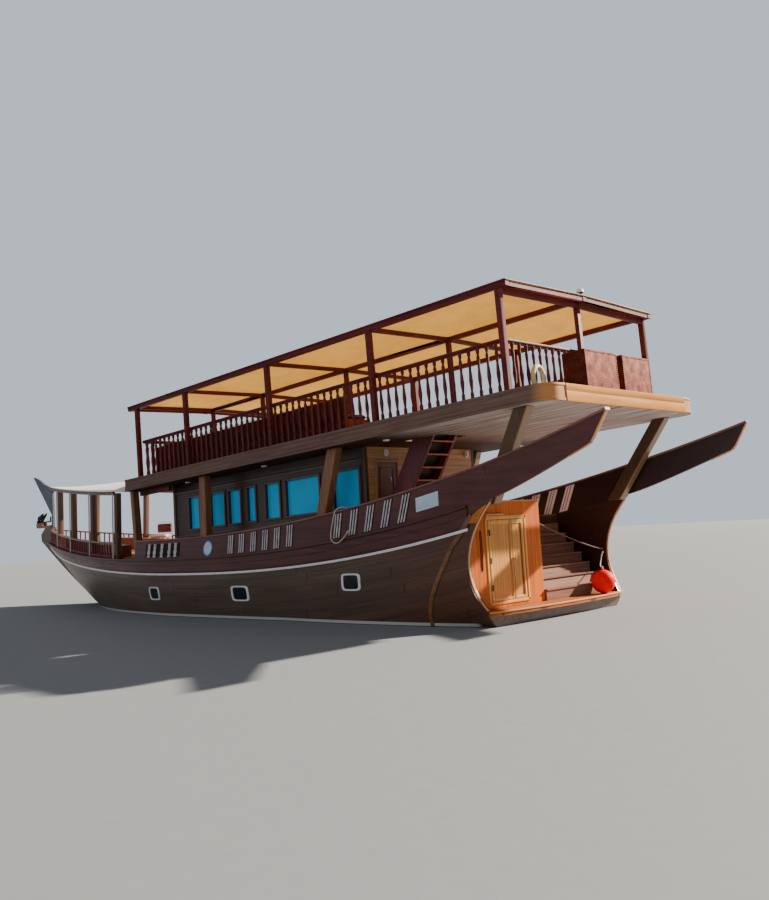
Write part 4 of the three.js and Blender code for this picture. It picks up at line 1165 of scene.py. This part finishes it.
def bowBenches():
    x = np.linspace(3.45, 8.6, 40)
    outer, inner = bowSide(x) - 0.235, bowSide(x) - 0.685
    low, high = deckZ(x) + 0.006, deckZ(x) + 0.33

    def beam(y0, y1, z0, z1):
        return skin(np.stack([grid(x, y, z) for y, z in ((y0, z0), (y0, z1), (y1, z1), (y1, z0))], 1))

    parts = [beam(outer, inner, low, high), beam(outer + 0.01, inner - 0.02, high, high + 0.025)]
    sidePieces("bow_bench_base", parts, "bench", ["bow_bench"])
    y, top = 0.25 - float(bowSide(7.1)), float(deckZ(7.1)) + 0.358
    turn = math.atan2(float(bowSide(6.6) - bowSide(7.6)), 1.0)
    c, s = math.cos(turn), math.sin(turn)
    for name, finish, size, at in (
            ("bow_seat_pad", "paleCloth", (0.9, 0.40, 0.12), (6.7, y + 0.20, top + 0.06)),
            ("bow_back_pad", "cushionCloth", (0.72, 0.14, 0.42), (6.6, y + 0.06, top + 0.34))):
        points, quads, tris = cushion(size)
        spun = points.copy()
        spun[:, :2] = grid(c * points[:, 0] - s * points[:, 1], s * points[:, 0] + c * points[:, 1])
        pad = buildPiece(name, [moved((spun, quads, tris), at)], finish, sharp=180)


bowRails()
bowBenches()
softened("stem_head", "greyWood", 0.02)
softened("bow_roller", "timber", 0.008)
softened("anchor", "iron", 0.010)
print("bow made")


# Awning over the bow: height = edge + 0.08 half^2 (1 - s^2), s across, a little slack between the beams' ends
awning = {"aft": 1.9, "fore": 11.7, "camber": 0.08, "thick": 0.004}


def bowAwning():
    x, s = np.linspace(awning["aft"], awning["fore"], 70)[:, None], np.linspace(-1, 1, 41)[None]
    half = bowSide(x)
    ripple = 0.008 * np.sin(x * 5.2) * (1 - s**2) * np.abs(s)
    top = grid(x, half * s, awningEdge(x) + 0.016 + awning["camber"] * half**2 * (1 - s**2) + ripple)
    piece = buildPiece("bow_awning_cloth", [skin(top, closed=False)], "awningCloth",
                       replaces="bow_awning", sharp=180)
    edge = grid(x[:, 0], half[:, 0], awningEdge(x[:, 0]) + 0.014)
    hem = skin(carried(edge, roundRect(0.02, 0.03, 0.008)))
    hems = buildPiece("bow_awning_hems", [hem, mirrored(hem)], "awningCloth")
    solid = piece.modifiers.new("cloth", "SOLIDIFY")
    solid.thickness, solid.offset = awning["thick"], 0


bowAwning()


# Cabin: frames round the windows, stiles and rails on the dark sides, door mouldings, lamps
cabin = {"x": (-7.3, 0.7), "half": 1.9, "top": (3.2, -0.033), "tall": 0.86, "frame": 0.06,
         "windows": [(-7.07, -6.19), (-5.67, -4.42), (-4.15, -3.60), (-3.15, -2.82), (-2.50, -2.00), (-1.78, -1.14),
                     (-0.59, -0.11)],
         "door": (0.91, 1.57, 3.56), "wallLamps": [(1.243, 3.784), (-1.623, 3.79)],
         "lampX": (-0.45, -3.9, -8.25), "lampY": 2.15, "frontZ": (2.33, 3.17)}


def windowTop(x):
    return cabin["top"][0] + cabin["top"][1] * x


def cabinSides():
    f, tall = cabin["frame"], cabin["tall"]
    bars = []
    y = cabin["half"] + 0.014
    for x0, x1 in cabin["windows"]:
        for dz in (f / 2, -tall - f / 2):
            bars.append(timber((x0 - f, y, windowTop(x0) + dz), (x1 + f, y, windowTop(x1) + dz), 0.045, f))
        for x, away in ((x0, -f / 2), (x1, f / 2)):
            top = windowTop(x)
            bars.append(timber((x + away, y, top - tall), (x + away, y, top), f, 0.045, up=(0, 1, 0)))
    aft, fore = cabin["x"][0] + 0.01, cabin["x"][1] - 0.01
    for lift, wide in ((0.20, 0.07), (-tall - 0.20, 0.09)):
        bars.append(timber((aft, y, windowTop(aft) + lift), (fore, y, windowTop(fore) + lift), 0.03, wide))
    for x, wide in ((-7.265, 0.06), (0.64, 0.11)):
        bars.append(timber((x, y, deckZ(x) + 0.02), (x, y, underZ(x) - 0.02), wide, 0.035, up=(0, 1, 0)))
    sidePieces("window_frames", bars, "frameDark")


# A rectangle of four bars: low and high corner as (y, z), how wide the bars are, and from x0 to x1 in depth
def frameOf(low, high, bar, x0, x1):
    (y0, z0), (y1, z1) = low, high
    spans = [((y0, z0), (y0 + bar, z1)), ((y1 - bar, z0), (y1, z1)), ((y0, z0), (y1, z0 + bar)),
             ((y0, z1 - bar), (y1, z1))]
    return [block((x0, *a), (x1, *b), 0.004) for a, b in spans]


def cabinEnds():
    y0, y1, top = cabin["door"]
    x = cabin["x"][0] - 0.012
    foot = float(deckZ(x)) + 0.02
    bars = [block((x - 0.016, y0 - 0.05, foot), (x + 0.014, y0, top + 0.05)),
            block((x - 0.016, y1, foot), (x + 0.014, y1 + 0.05, top + 0.05)),
            block((x - 0.018, y0 - 0.06, top), (x + 0.014, y1 + 0.06, top + 0.06))]
    buildPiece("cabin_door_frame", bars, "doorTrim")
    softened("cabin_door", "redDoor", 0.004, "cabin_door")
    panels = []
    for z0, z1 in ((foot + 0.16, foot + 0.62), (foot + 0.72, top - 0.12)):
        panels += frameOf((y0 + 0.10, z0), (y1 - 0.10, z1), 0.04, x - 0.010, x + 0.004)
    buildPiece("cabin_door_mouldings", panels, "redDoor", body="cabin_door")
    handle = [block((x - 0.05, 1.14, 3.10), (x - 0.035, 1.165, 3.22), 0.006)]
    handle += [block((x - 0.04, 1.14, z), (x + 0.006, 1.165, z + 0.02), 0.005) for z in (3.11, 3.19)]
    buildPiece("cabin_door_pull", handle, "steel", body="cabin_door")
    lamps = []
    for y, z in cabin["wallLamps"]:
        lamps += [block((x - 0.03, y - 0.045, z - 0.085), (x + 0.014, y + 0.045, z + 0.085), 0.01),
                  block((x - 0.07, y - 0.030, z - 0.060), (x - 0.03, y + 0.030, z + 0.060), 0.012)]
    buildPiece("wall_lamps", lamps, "white")
    lamp = turned([(0.050, 0.0), (0.075, 0.010), (0.080, 0.036)], 24)
    under = [(x, y, underZ(x) - 0.034) for x in cabin["lampX"] for y in (-cabin["lampY"], cabin["lampY"])]
    buildPiece("ceiling_lamps", [repeated(lamp, under)], "white", sharp=50)
    front, (low, high) = cabin["x"][1] + 0.012, cabin["frontZ"]
    x0, x1 = front - 0.014, front + 0.014
    mullions = [block((x0, y - 0.035, low), (x1, y + 0.035, high)) for y in (-1.5, -0.5, 0.5, 1.5)]
    mullions += [block((x0, -1.54, z - 0.035), (x1 + 0.002, 1.54, z + 0.035)) for z in (low, high)]
    buildPiece("front_window_frame", mullions, "frameDark")


# A red board stowed across under the upper deck: its depth tapers to nothing at the tip
def stowedBoard():
    s, angle = np.linspace(0, 1, 24)[:, None], angles(20)[None]
    tall, wide = 0.006 + 0.075 * s**0.7, 0.03 + 0.19 * np.sqrt(s)
    ring = grid(-8.0 + wide * np.cos(angle), 1.92 - 0.74 * s, 4.01 + 0.075 * s + tall * np.sin(angle))
    buildPiece("stowed_board", [skin(ring)], "boardRed", sharp=60)


cabinSides()
cabinEnds()
stowedBoard()
print("cabin dressed")

# Ladder, pillars, stairs, platform, cabinet
softened("ladder", "ladderWood", 0.006)
for name in ("bow", "fore", "mid", "aft"):
    for side in ("port", "starboard"):
        softened(f"pillar_{name}_{side}", "pillarDark" if name == "aft" else "timber", 0.018)

# The ladder leans aft as it rises: its aft edge is at x = -8.36 - 0.63 (z - 3.05)
ladder = {"y": (0.66, 1.34), "treads": [2.24 + 0.276 * k for k in range(7)], "span": (2.25, 4.15)}


def ladderX(z):
    return -8.36 - 0.63 * (z - 3.05)


def ladderDetail():
    (y0, y1), (low, high) = ladder["y"], ladder["span"]
    edges = []
    for z in ladder["treads"]:
        x = ladderX(z)
        edges.append(block((x + 0.002, y0 - 0.002, z - 0.030), (x + 0.030, y1 + 0.002, z + 0.004), 0.004))
    for y in (y0 - 0.03, y1 + 0.03):
        foot, top = (ladderX(low) + 0.012, y, low), (ladderX(high) + 0.012, y, high)
        edges.append(timber(foot, top, 0.012, 0.060, 0.004, (0, 1, 0)))
    buildPiece("ladder_edges", edges, "ladderEdge")
    # a board behind the treads, in a darkened copy of the ladder's wine colour: a painted shade
    foot, top = (ladderX(low) + 0.20, (y0 + y1) / 2, low), (ladderX(high) + 0.20, (y0 + y1) / 2, high)
    back = timber(foot, top, 0.014, y1 - y0, 0.003, (0, 1, 0))
    buildPiece("ladder_back", [back], "ladderShade")


ladderDetail()
for node, finish, width, slot, body in (
        ("stern_stairs", "tread", 0.0, "teak", "boat"), ("swim_platform", "platform", 0.010, "teak", "boat"),
        ("stern_cabinet", "cabinet", 0.010, "varnish", "boat"), ("rudder", "hull", 0.008, "hull", "rudder"),
        ("propeller", "bronze", 0.003, "bronze", "propeller")):
    softened(node, finish, width, body)

stern = {"platform": 0.31, "half": 2.4, "risers": 8, "run": 0.2, "stairY": (-2.24, 0.08), "cabinetX": -10.66,
         "cabinetY": (0.092, 2.23), "cabinetTop": 2.44, "openingY": (0.68, 1.87), "leafZ": (0.44, 2.08),
         "leaves": {"port": (1.133, 1.848), "starboard": (0.702, 1.124)}, "bar": 0.055,
         "grooves": {"starboard": (1.09, 0.80), "port": (1.166,)}, "hingeY": 1.867, "hingeZ": (0.72, 1.26, 1.82),
         "plateY": (1.79, 1.843), "hood": (1.36, 1.95)}


def sternTreads():
    foot, top = stern["platform"] + 0.001, float(deckZ(lines["recess"]))
    rise = (top - foot) / stern["risers"]
    (y0, y1), count = stern["stairY"], stern["risers"] - 1
    boards = []
    for k in range(count):
        x, z = lines["recess"] - 0.008 - stern["run"] * (count - k), foot + (k + 1) * rise
        boards.append(block((x - 0.022, y0 + 0.004, z - 0.028), (x + stern["run"] + 0.002, y1, z + 0.006)))
    buildPiece("stair_treads", boards, "tread")


def platformEdge():
    y = stern["half"] * np.sin(np.linspace(-math.pi / 2, math.pi / 2, 61)) * 0.998
    x = -10.99 - 0.23 * np.sqrt(np.maximum(1 - (y / stern["half"]) ** 2, 0)) - 0.006
    path = grid(x, y, stern["platform"] - 0.014)
    buildPiece("platform_edge", [skin(carried(path, roundRect(0.020, 0.036, 0.008)))], "edgeWood")


def cabinetCase():
    x, (y0, y1), top = stern["cabinetX"], stern["cabinetY"], stern["cabinetTop"]
    z = np.linspace(stern["platform"] + 0.004, top - 0.01, 30)[:, None]
    side = hullHalf(-10.62, np.minimum(z, 2.3)) - 0.104
    face = grid(x + 0.002, y1 - 0.004 + (side - y1 + 0.004) * np.linspace(0, 1, 3)[None], z)
    buildPiece("cabinet_flank", [shell(face, face + [0.03, 0, 0])], "cabinet")
    trim = block((x - 0.018, y0 - 0.010, top - 0.006), (x + 0.05, float(side[-1, 0]), top + 0.022))
    buildPiece("cabinet_trim", [trim], "trim")
    hood = block((x - 0.06, stern["hood"][0], 2.165), (x - 0.002, stern["hood"][1], 2.20), 0.008)
    buildPiece("cabinet_hood", [hood], "trim")
    (a, b), (low, high) = stern["openingY"], stern["leafZ"]
    bars = [((a - 0.07, low - 0.05), (a - 0.016, high + 0.07)),
            ((b + 0.024, low - 0.05), (b + 0.076, high + 0.07)),
            ((a - 0.07, high), (b + 0.06, high + 0.075)), ((a - 0.07, low - 0.06), (b + 0.06, low))]
    buildPiece("cabinet_door_frame", [block((x - 0.018, *p), (x + 0.004, *q), 0.005) for p, q in bars],
               "doorFrame")


def cabinetDoors():
    x, (low, high), bar = stern["cabinetX"], stern["leafZ"], stern["bar"]
    for leaf, (y0, y1) in stern["leaves"].items():
        body = f"stern_door_{leaf}"
        softened(body, "doorWood", 0.004, body)
        z0, z1 = low + 0.012, high - 0.012
        bars = [((y0 + 0.004, z0), (y0 + bar, z1)), ((y1 - bar, z0), (y1 - 0.004, z1)),
                ((y0 + bar, z1 - bar * 1.6), (y1 - bar, z1)), ((y0 + bar, z0), (y1 - bar, z0 + bar))]
        bars = [block((x - 0.012, *p), (x + 0.003, *q), 0.004) for p, q in bars]
        buildPiece(f"stern_door_frame_{leaf}", bars, "doorFrame", body=body)
    # the grooves are dark strips standing on the leaves, a painted shade in the grooves
    for name, leaf in (("stern_door_grooves_starboard", "starboard"), ("stern_door_groove_port", "port")):
        grooves = [block((x - 0.0135, y - 0.008, low + 0.03), (x - 0.004, y + 0.008, high - 0.03), 0.002)
                   for y in stern["grooves"][leaf]]
        buildPiece(name, grooves, "dark", body=f"stern_door_{leaf}")
    knobShape = [(0.001, -0.05), (0.022, -0.048), (0.026, -0.036), (0.012, -0.02), (0.02, 0.0)]
    points, quads, tris = turned(knobShape, 16)
    knob = moved((points[:, [2, 0, 1]], quads, tris), (x - 0.006, 1.06, 1.27))  # Z laid along X
    latch = [block((x - 0.040, 0.98, 1.25), (x - 0.012, 1.12, 1.29), 0.008), knob]
    buildPiece("stern_door_latch", latch, "brass", body="stern_door_starboard")
    y0, y1 = stern["plateY"]
    plates = [block((x - 0.016, y0, z - 0.06), (x - 0.006, y1, z + 0.06), 0.003) for z in stern["hingeZ"]]
    buildPiece("stern_door_hinges", plates, "iron", body="stern_door_port")
    pin = turned([(0.001, -0.065), (0.006, -0.064), (0.006, 0.064), (0.001, 0.065)], 12)
    pins = [moved(pin, (x, stern["hingeY"], z)) for z in stern["hingeZ"]]
    buildPiece("stern_door_pins", pins, "iron")


# The slot of the cabinet's pull: a narrow loop, squared off at its ends, drawn dark, a painted shade in the slot
def pullSlot():
    x, loop = stern["cabinetX"], angles(40)
    path = grid(x - 0.008, 2.10 + 0.022 * np.cos(loop), 1.475 + 0.40 * power(np.sin(loop), 0.5))
    side = np.cross(unit(np.roll(path, -1, 0) - np.roll(path, 1, 0)), (1.0, 0, 0))
    ring = roundRect(0.014, 0.014, 0.005)[None]
    rings = path[:, None] + ring[..., :1] * side[:, None] + ring[..., 1:] * np.array([1.0, 0, 0])
    buildPiece("cabinet_pull_slot", [skin(rings, loop=True)], "dark")


sternTreads()
platformEdge()
cabinetCase()
cabinetDoors()
pullSlot()
print("stern dressed")


# Upper deck edge: a band of boards carried round the deck's rounded outline
edge = {"aftRadius": 0.4, "foreRadius": 0.12, "profile": [
    (-0.004, 0.006), (0.022, 0.006), (0.026, 0.0), (0.026, -0.034), (0.014, -0.040), (0.014, -0.250), (0.022, -0.256),
    (0.022, -0.316), (0.016, -0.322), (-0.004, -0.322)],
    "aftProfile": [(-0.002, 0.008), (0.030, 0.008), (0.034, 0.0), (0.034, -0.120), (0.029, -0.126), (0.029, -0.134),
                   (0.034, -0.140), (0.034, -0.310), (0.030, -0.324), (-0.002, -0.324)]}


# The deck's outline and its outward normals, from the fore port corner round
def roundedOutline(aftX, foreX, half, aftRadius, foreRadius):
    aft, fore = (aftX + aftRadius, half - aftRadius), (foreX - foreRadius, half - foreRadius)
    corners = [(fore[0], fore[1], foreRadius, 0), (aft[0], aft[1], aftRadius, 90),
               (aft[0], -aft[1], aftRadius, 180), (fore[0], -fore[1], foreRadius, 270)]
    points, normals = [], []
    for x, y, radius, start in corners:
        angle = np.radians(start + np.linspace(0, 90, 14))
        outward = grid(np.cos(angle), np.sin(angle))
        points.append(np.array([x, y]) + radius * outward)
        normals.append(outward)
    return np.concatenate(points), np.concatenate(normals)


def deckEdge():
    outline, outward = roundedOutline(*upper["ends"], upper["half"], edge["aftRadius"], edge["foreRadius"])
    profile = np.array(edge["profile"])
    xy = outline[:, None] + outward[:, None] * profile[None, :, :1]
    z = np.broadcast_to(profile[None, :, 1:], (*xy.shape[:2], 1))
    flow = grid(lengthsAlong(outline)[:, None], lengthsAlong(profile)[None])
    band = skin(np.concatenate([xy, z, flow], -1), loop=True)
    buildPiece("deck_edge", [onUpper(band)], "fascia")
    y = np.linspace(-1, 1, 60) * (upper["half"] - edge["aftRadius"] - 0.18)
    board = skin(carried(grid(upper["ends"][0], y, 0), np.array(edge["aftProfile"]) * [-1, 1]))
    buildPiece("deck_edge_aft", [onUpper(board)], "aftFascia")


# Balustrades: turned sticks between a foot rail and a handrail
rails = {"height": 1.062, "step": 0.225, "stout": 1.3, "foot": 0.003,
         "runs": {"port": ((0.16, 2.51), (13.087, 2.51)), "starboard": ((0.16, -2.51), (13.087, -2.51)),
                  "aft": ((0.108, -2.555), (0.108, 2.555)), "front": ((13.139, -2.555), (13.139, 2.555))},
         "bars": [(1.036, 0.10, 0.052, 0.016), (0.994, 0.05, 0.034, 0.008), (0.036, 0.07, 0.05, 0.01)]}


def balustrades():
    low, tall = 0.055, rails["height"] - 0.11
    stick = turned([(rails["stout"] * r, low + tall * h) for r, h in balusterShape], 6)
    for name, (start, end) in rails["runs"].items():
        start, end = np.array([*start, rails["foot"]]), np.array([*end, rails["foot"]])
        count = round(float(np.linalg.norm(end - start)) / rails["step"])
        at = start + (end - start) * ((np.arange(count) + 0.5) / count)[:, None]
        bars = [timber(start + [0, 0, z], end + [0, 0, z], *section) for z, *section in rails["bars"]]
        buildPiece(f"balusters_{name}", [onUpper(repeated(stick, at))], "mahoganyUp",
                   replaces=f"balustrade_{name}", sharp=75)
        buildPiece(f"handrail_{name}", [onUpper(bar) for bar in bars], "mahogany")


deckEdge()
balustrades()
for part in ("port", "starboard", "centre"):
    softened(f"canopy_frame_{part}", "mahogany", 0.010)
across = np.linspace(-1, 1, 21)
tie = carried(grid(-0.012, 2.555 * across, 1.945 + 0.05 * (1 - np.abs(across))), roundRect(0.07, 0.10, 0.01))
buildPiece("canopy_tie_aft", [onUpper(skin(tie))], "mahogany")
print("upper deck dressed")

# Canopy: cloth over the frame; it sags between the cross beams as sin^2 along and sin^2 across each half
canopy = {"stops": [-0.17, 0, 3.56, 7.149, 10.745, 13.247, 13.622], "x": (-0.22, 13.672), "half": 2.688,
          "z": 2.108, "camber": 0.05, "sag": 0.045, "thick": 0.005}


def canopyZ(y):
    return canopy["z"] + canopy["camber"] * (1 - np.abs(y) / canopy["half"])


def canopyCloth():
    x, y = np.linspace(*canopy["x"], 120)[:, None], np.linspace(-1, 1, 61)[None] * canopy["half"]
    along = np.sin(math.pi * np.interp(x, canopy["stops"], np.arange(len(canopy["stops"])))) ** 2
    across = np.sin(math.pi * clamp(np.abs(y) / 2.6, 0, 1))
    crease = 0.004 * np.sin(9 * x + 3 * y) * across * along
    sheet = grid(x, y, canopyZ(y) - canopy["sag"] * along * across**2 + crease)
    piece = buildPiece("canopy_cloth", [onUpper(skin(sheet, closed=False))], "canvas",
                       replaces="canopy_sheet", sharp=180)
    solid = piece.modifiers.new("cloth", "SOLIDIFY")
    solid.thickness, solid.offset = canopy["thick"], 0
    hems = [skin(carried(grid(x[:, 0], y, canopy["z"] - 0.004), roundRect(0.03, 0.035, 0.01)))
            for y in (-canopy["half"], canopy["half"])]
    hems += [skin(carried(grid(end, y[0], canopyZ(y[0])), roundRect(0.03, 0.03, 0.01))) for end in canopy["x"]]
    hemPiece = buildPiece("canopy_hems", [onUpper(hem) for hem in hems], "mahogany")


canopyCloth()

# Things on the upper deck. A seat and a back are given as y from and to, then z from and to.
wickerBoxes = {"port": (0.06, 1.21), "starboard": (-1.24, -0.15), "x": (-0.83, -0.30), "top": 0.795,
               "leg": 0.04}
sofas = {"x": (4.7, 12.7), "count": 8, "seat": (1.65, 2.20, 0.30, 0.43), "back": (2.20, 2.44, 0.43, 0.85),
         "joint": 0.016, "backGap": 0.055, "seatOver": 0.02}


def wickerBoxPieces():
    (x0, x1), top, leg, foot = wickerBoxes["x"], wickerBoxes["top"], wickerBoxes["leg"], 0.004
    for side in sides:
        y0, y1 = wickerBoxes[side]
        parts = [block((x0 + 0.006, y0 + 0.006, foot), (x1 - 0.006, y1 - 0.006, top - 0.03), 0.03),
                 block((x0, y0, top - 0.05), (x1, y1, top), 0.02), block((x0, y0, foot), (x1, y1, 0.05), 0.02)]
        corners = [(x, y) for x in (x0, x1 - leg) for y in (y0, y1 - leg)]
        parts += [block((x, y, foot), (x + leg, y + leg, top), 0.016) for x, y in corners]
        buildPiece(f"wicker_{side}", [onUpper(p) for p in parts], "wicker",
                   replaces=f"wicker_box_{side}")


def sofaPieces():
    (x0, x1), joint = sofas["x"], sofas["joint"]
    pitch = (x1 - x0) / sofas["count"]
    (s0, s1, s2, s3), (b0, b1, b2, b3) = sofas["seat"], sofas["back"]
    middles = x0 + pitch * (np.arange(sofas["count"]) + 0.5)
    pads = {}
    for kind, low, high in (("seat", (s0 + 0.004, s2 + 0.002), (s1 + sofas["seatOver"], s3)),
                            ("back", (b0, b2 + 0.002), (b1 - sofas["backGap"], b3))):
        at = grid(middles, (low[0] + high[0]) / 2, (low[1] + high[1]) / 2)
        pads[kind] = repeated(cushion((pitch - joint, high[0] - low[0], high[1] - low[1])), at)
    for side, flip in sides.items():
        base = [block((x0, s0, 0.004), (x1, b1, s2), 0.012),
                block((x0, b1 - 0.05, s2), (x1, b1, b3 - 0.06), 0.012)]
        buildPiece(f"sofa_base_{side}", [onUpper(flip(p)) for p in base], "wicker",
                   replaces=f"sofa_{side}")
        for kind, pad in pads.items():
            piece = buildPiece(f"sofa_{kind}s_{side}", [onUpper(flip(pad))], "cushionCloth",
                               sharp=180)


def lifebuoy():
    arc, angle = np.radians(np.linspace(-60, 240, 60)), angles(20)
    path = grid(0, 1.62 + 0.17 * np.cos(arc), 0.34 + 0.23 * np.sin(arc))
    taper = clamp(np.minimum(np.arange(60), 59 - np.arange(60)) / 3, 0.25, 1) ** 0.5
    ring = 0.049 * taper[:, None, None] * grid(np.cos(angle), np.sin(angle))[None]
    buoy = onUpper(skin(carried(path, ring, (1, 0, 0))))
    buildPiece("lifebuoy_horseshoe", [buoy], "buoyCloth", replaces="lifebuoy", sharp=180)


def roofLamp():
    base = turned([(0.001, 0), (0.06, 0), (0.06, 0.02), (0.03, 0.03), (0.03, 0.06), (0.079, 0.07), (0.079, 0.078)])
    globe = turned([(0.078, 0.078), (0.078, 0.10), (0.07, 0.135), (0.05, 0.16), (0.02, 0.174), (0.001, 0.175)])
    base, globe = (onUpper(moved(part, (-0.13, 0, 2.166))) for part in (base, globe))
    buildPiece("roof_lamp_base", [base], "iron", replaces="roof_lamp")
    buildPiece("roof_lamp_globe", [globe], "white", sharp=60)


def fenderBall():
    t = np.radians(np.linspace(-89, 80, 30))
    neck = [(0.036, 0.258), (0.034, 0.268), (0.034, 0.284), (0.001, 0.286)]
    ball = turned(np.concatenate([0.262 * grid(np.cos(t), np.sin(t)), neck]), 40)
    ball = moved(ball, (-10.985, -1.70, 0.573))
    buildPiece("fender_ball", [ball], "fender", replaces="fender", sharp=50)


for stage in (wickerBoxPieces, sofaPieces, lifebuoy, roofLamp, fenderBall):
    stage()
print("furniture made")

for finish, nodes in {
        "hull": ["hull"], "deck": ["main_deck"], "upperDeck": ["upper_deck"], "wallBoards": ["cabin_wall_aft"],
        "wallShaded": ["cabin_wall_port", "cabin_wall_starboard", "cabin_wall_front"],
        "glass": ["cabin_glass_port", "cabin_glass_starboard", "cabin_glass_front"]}.items():
    for node in nodes:
        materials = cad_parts[node].data.materials
        materials.clear()
        materials.append(finishes[finish])

floor = buildPiece("floor", [block((-150, -150, -0.25), (150, 150, -0.002), 0.01)], "floor")
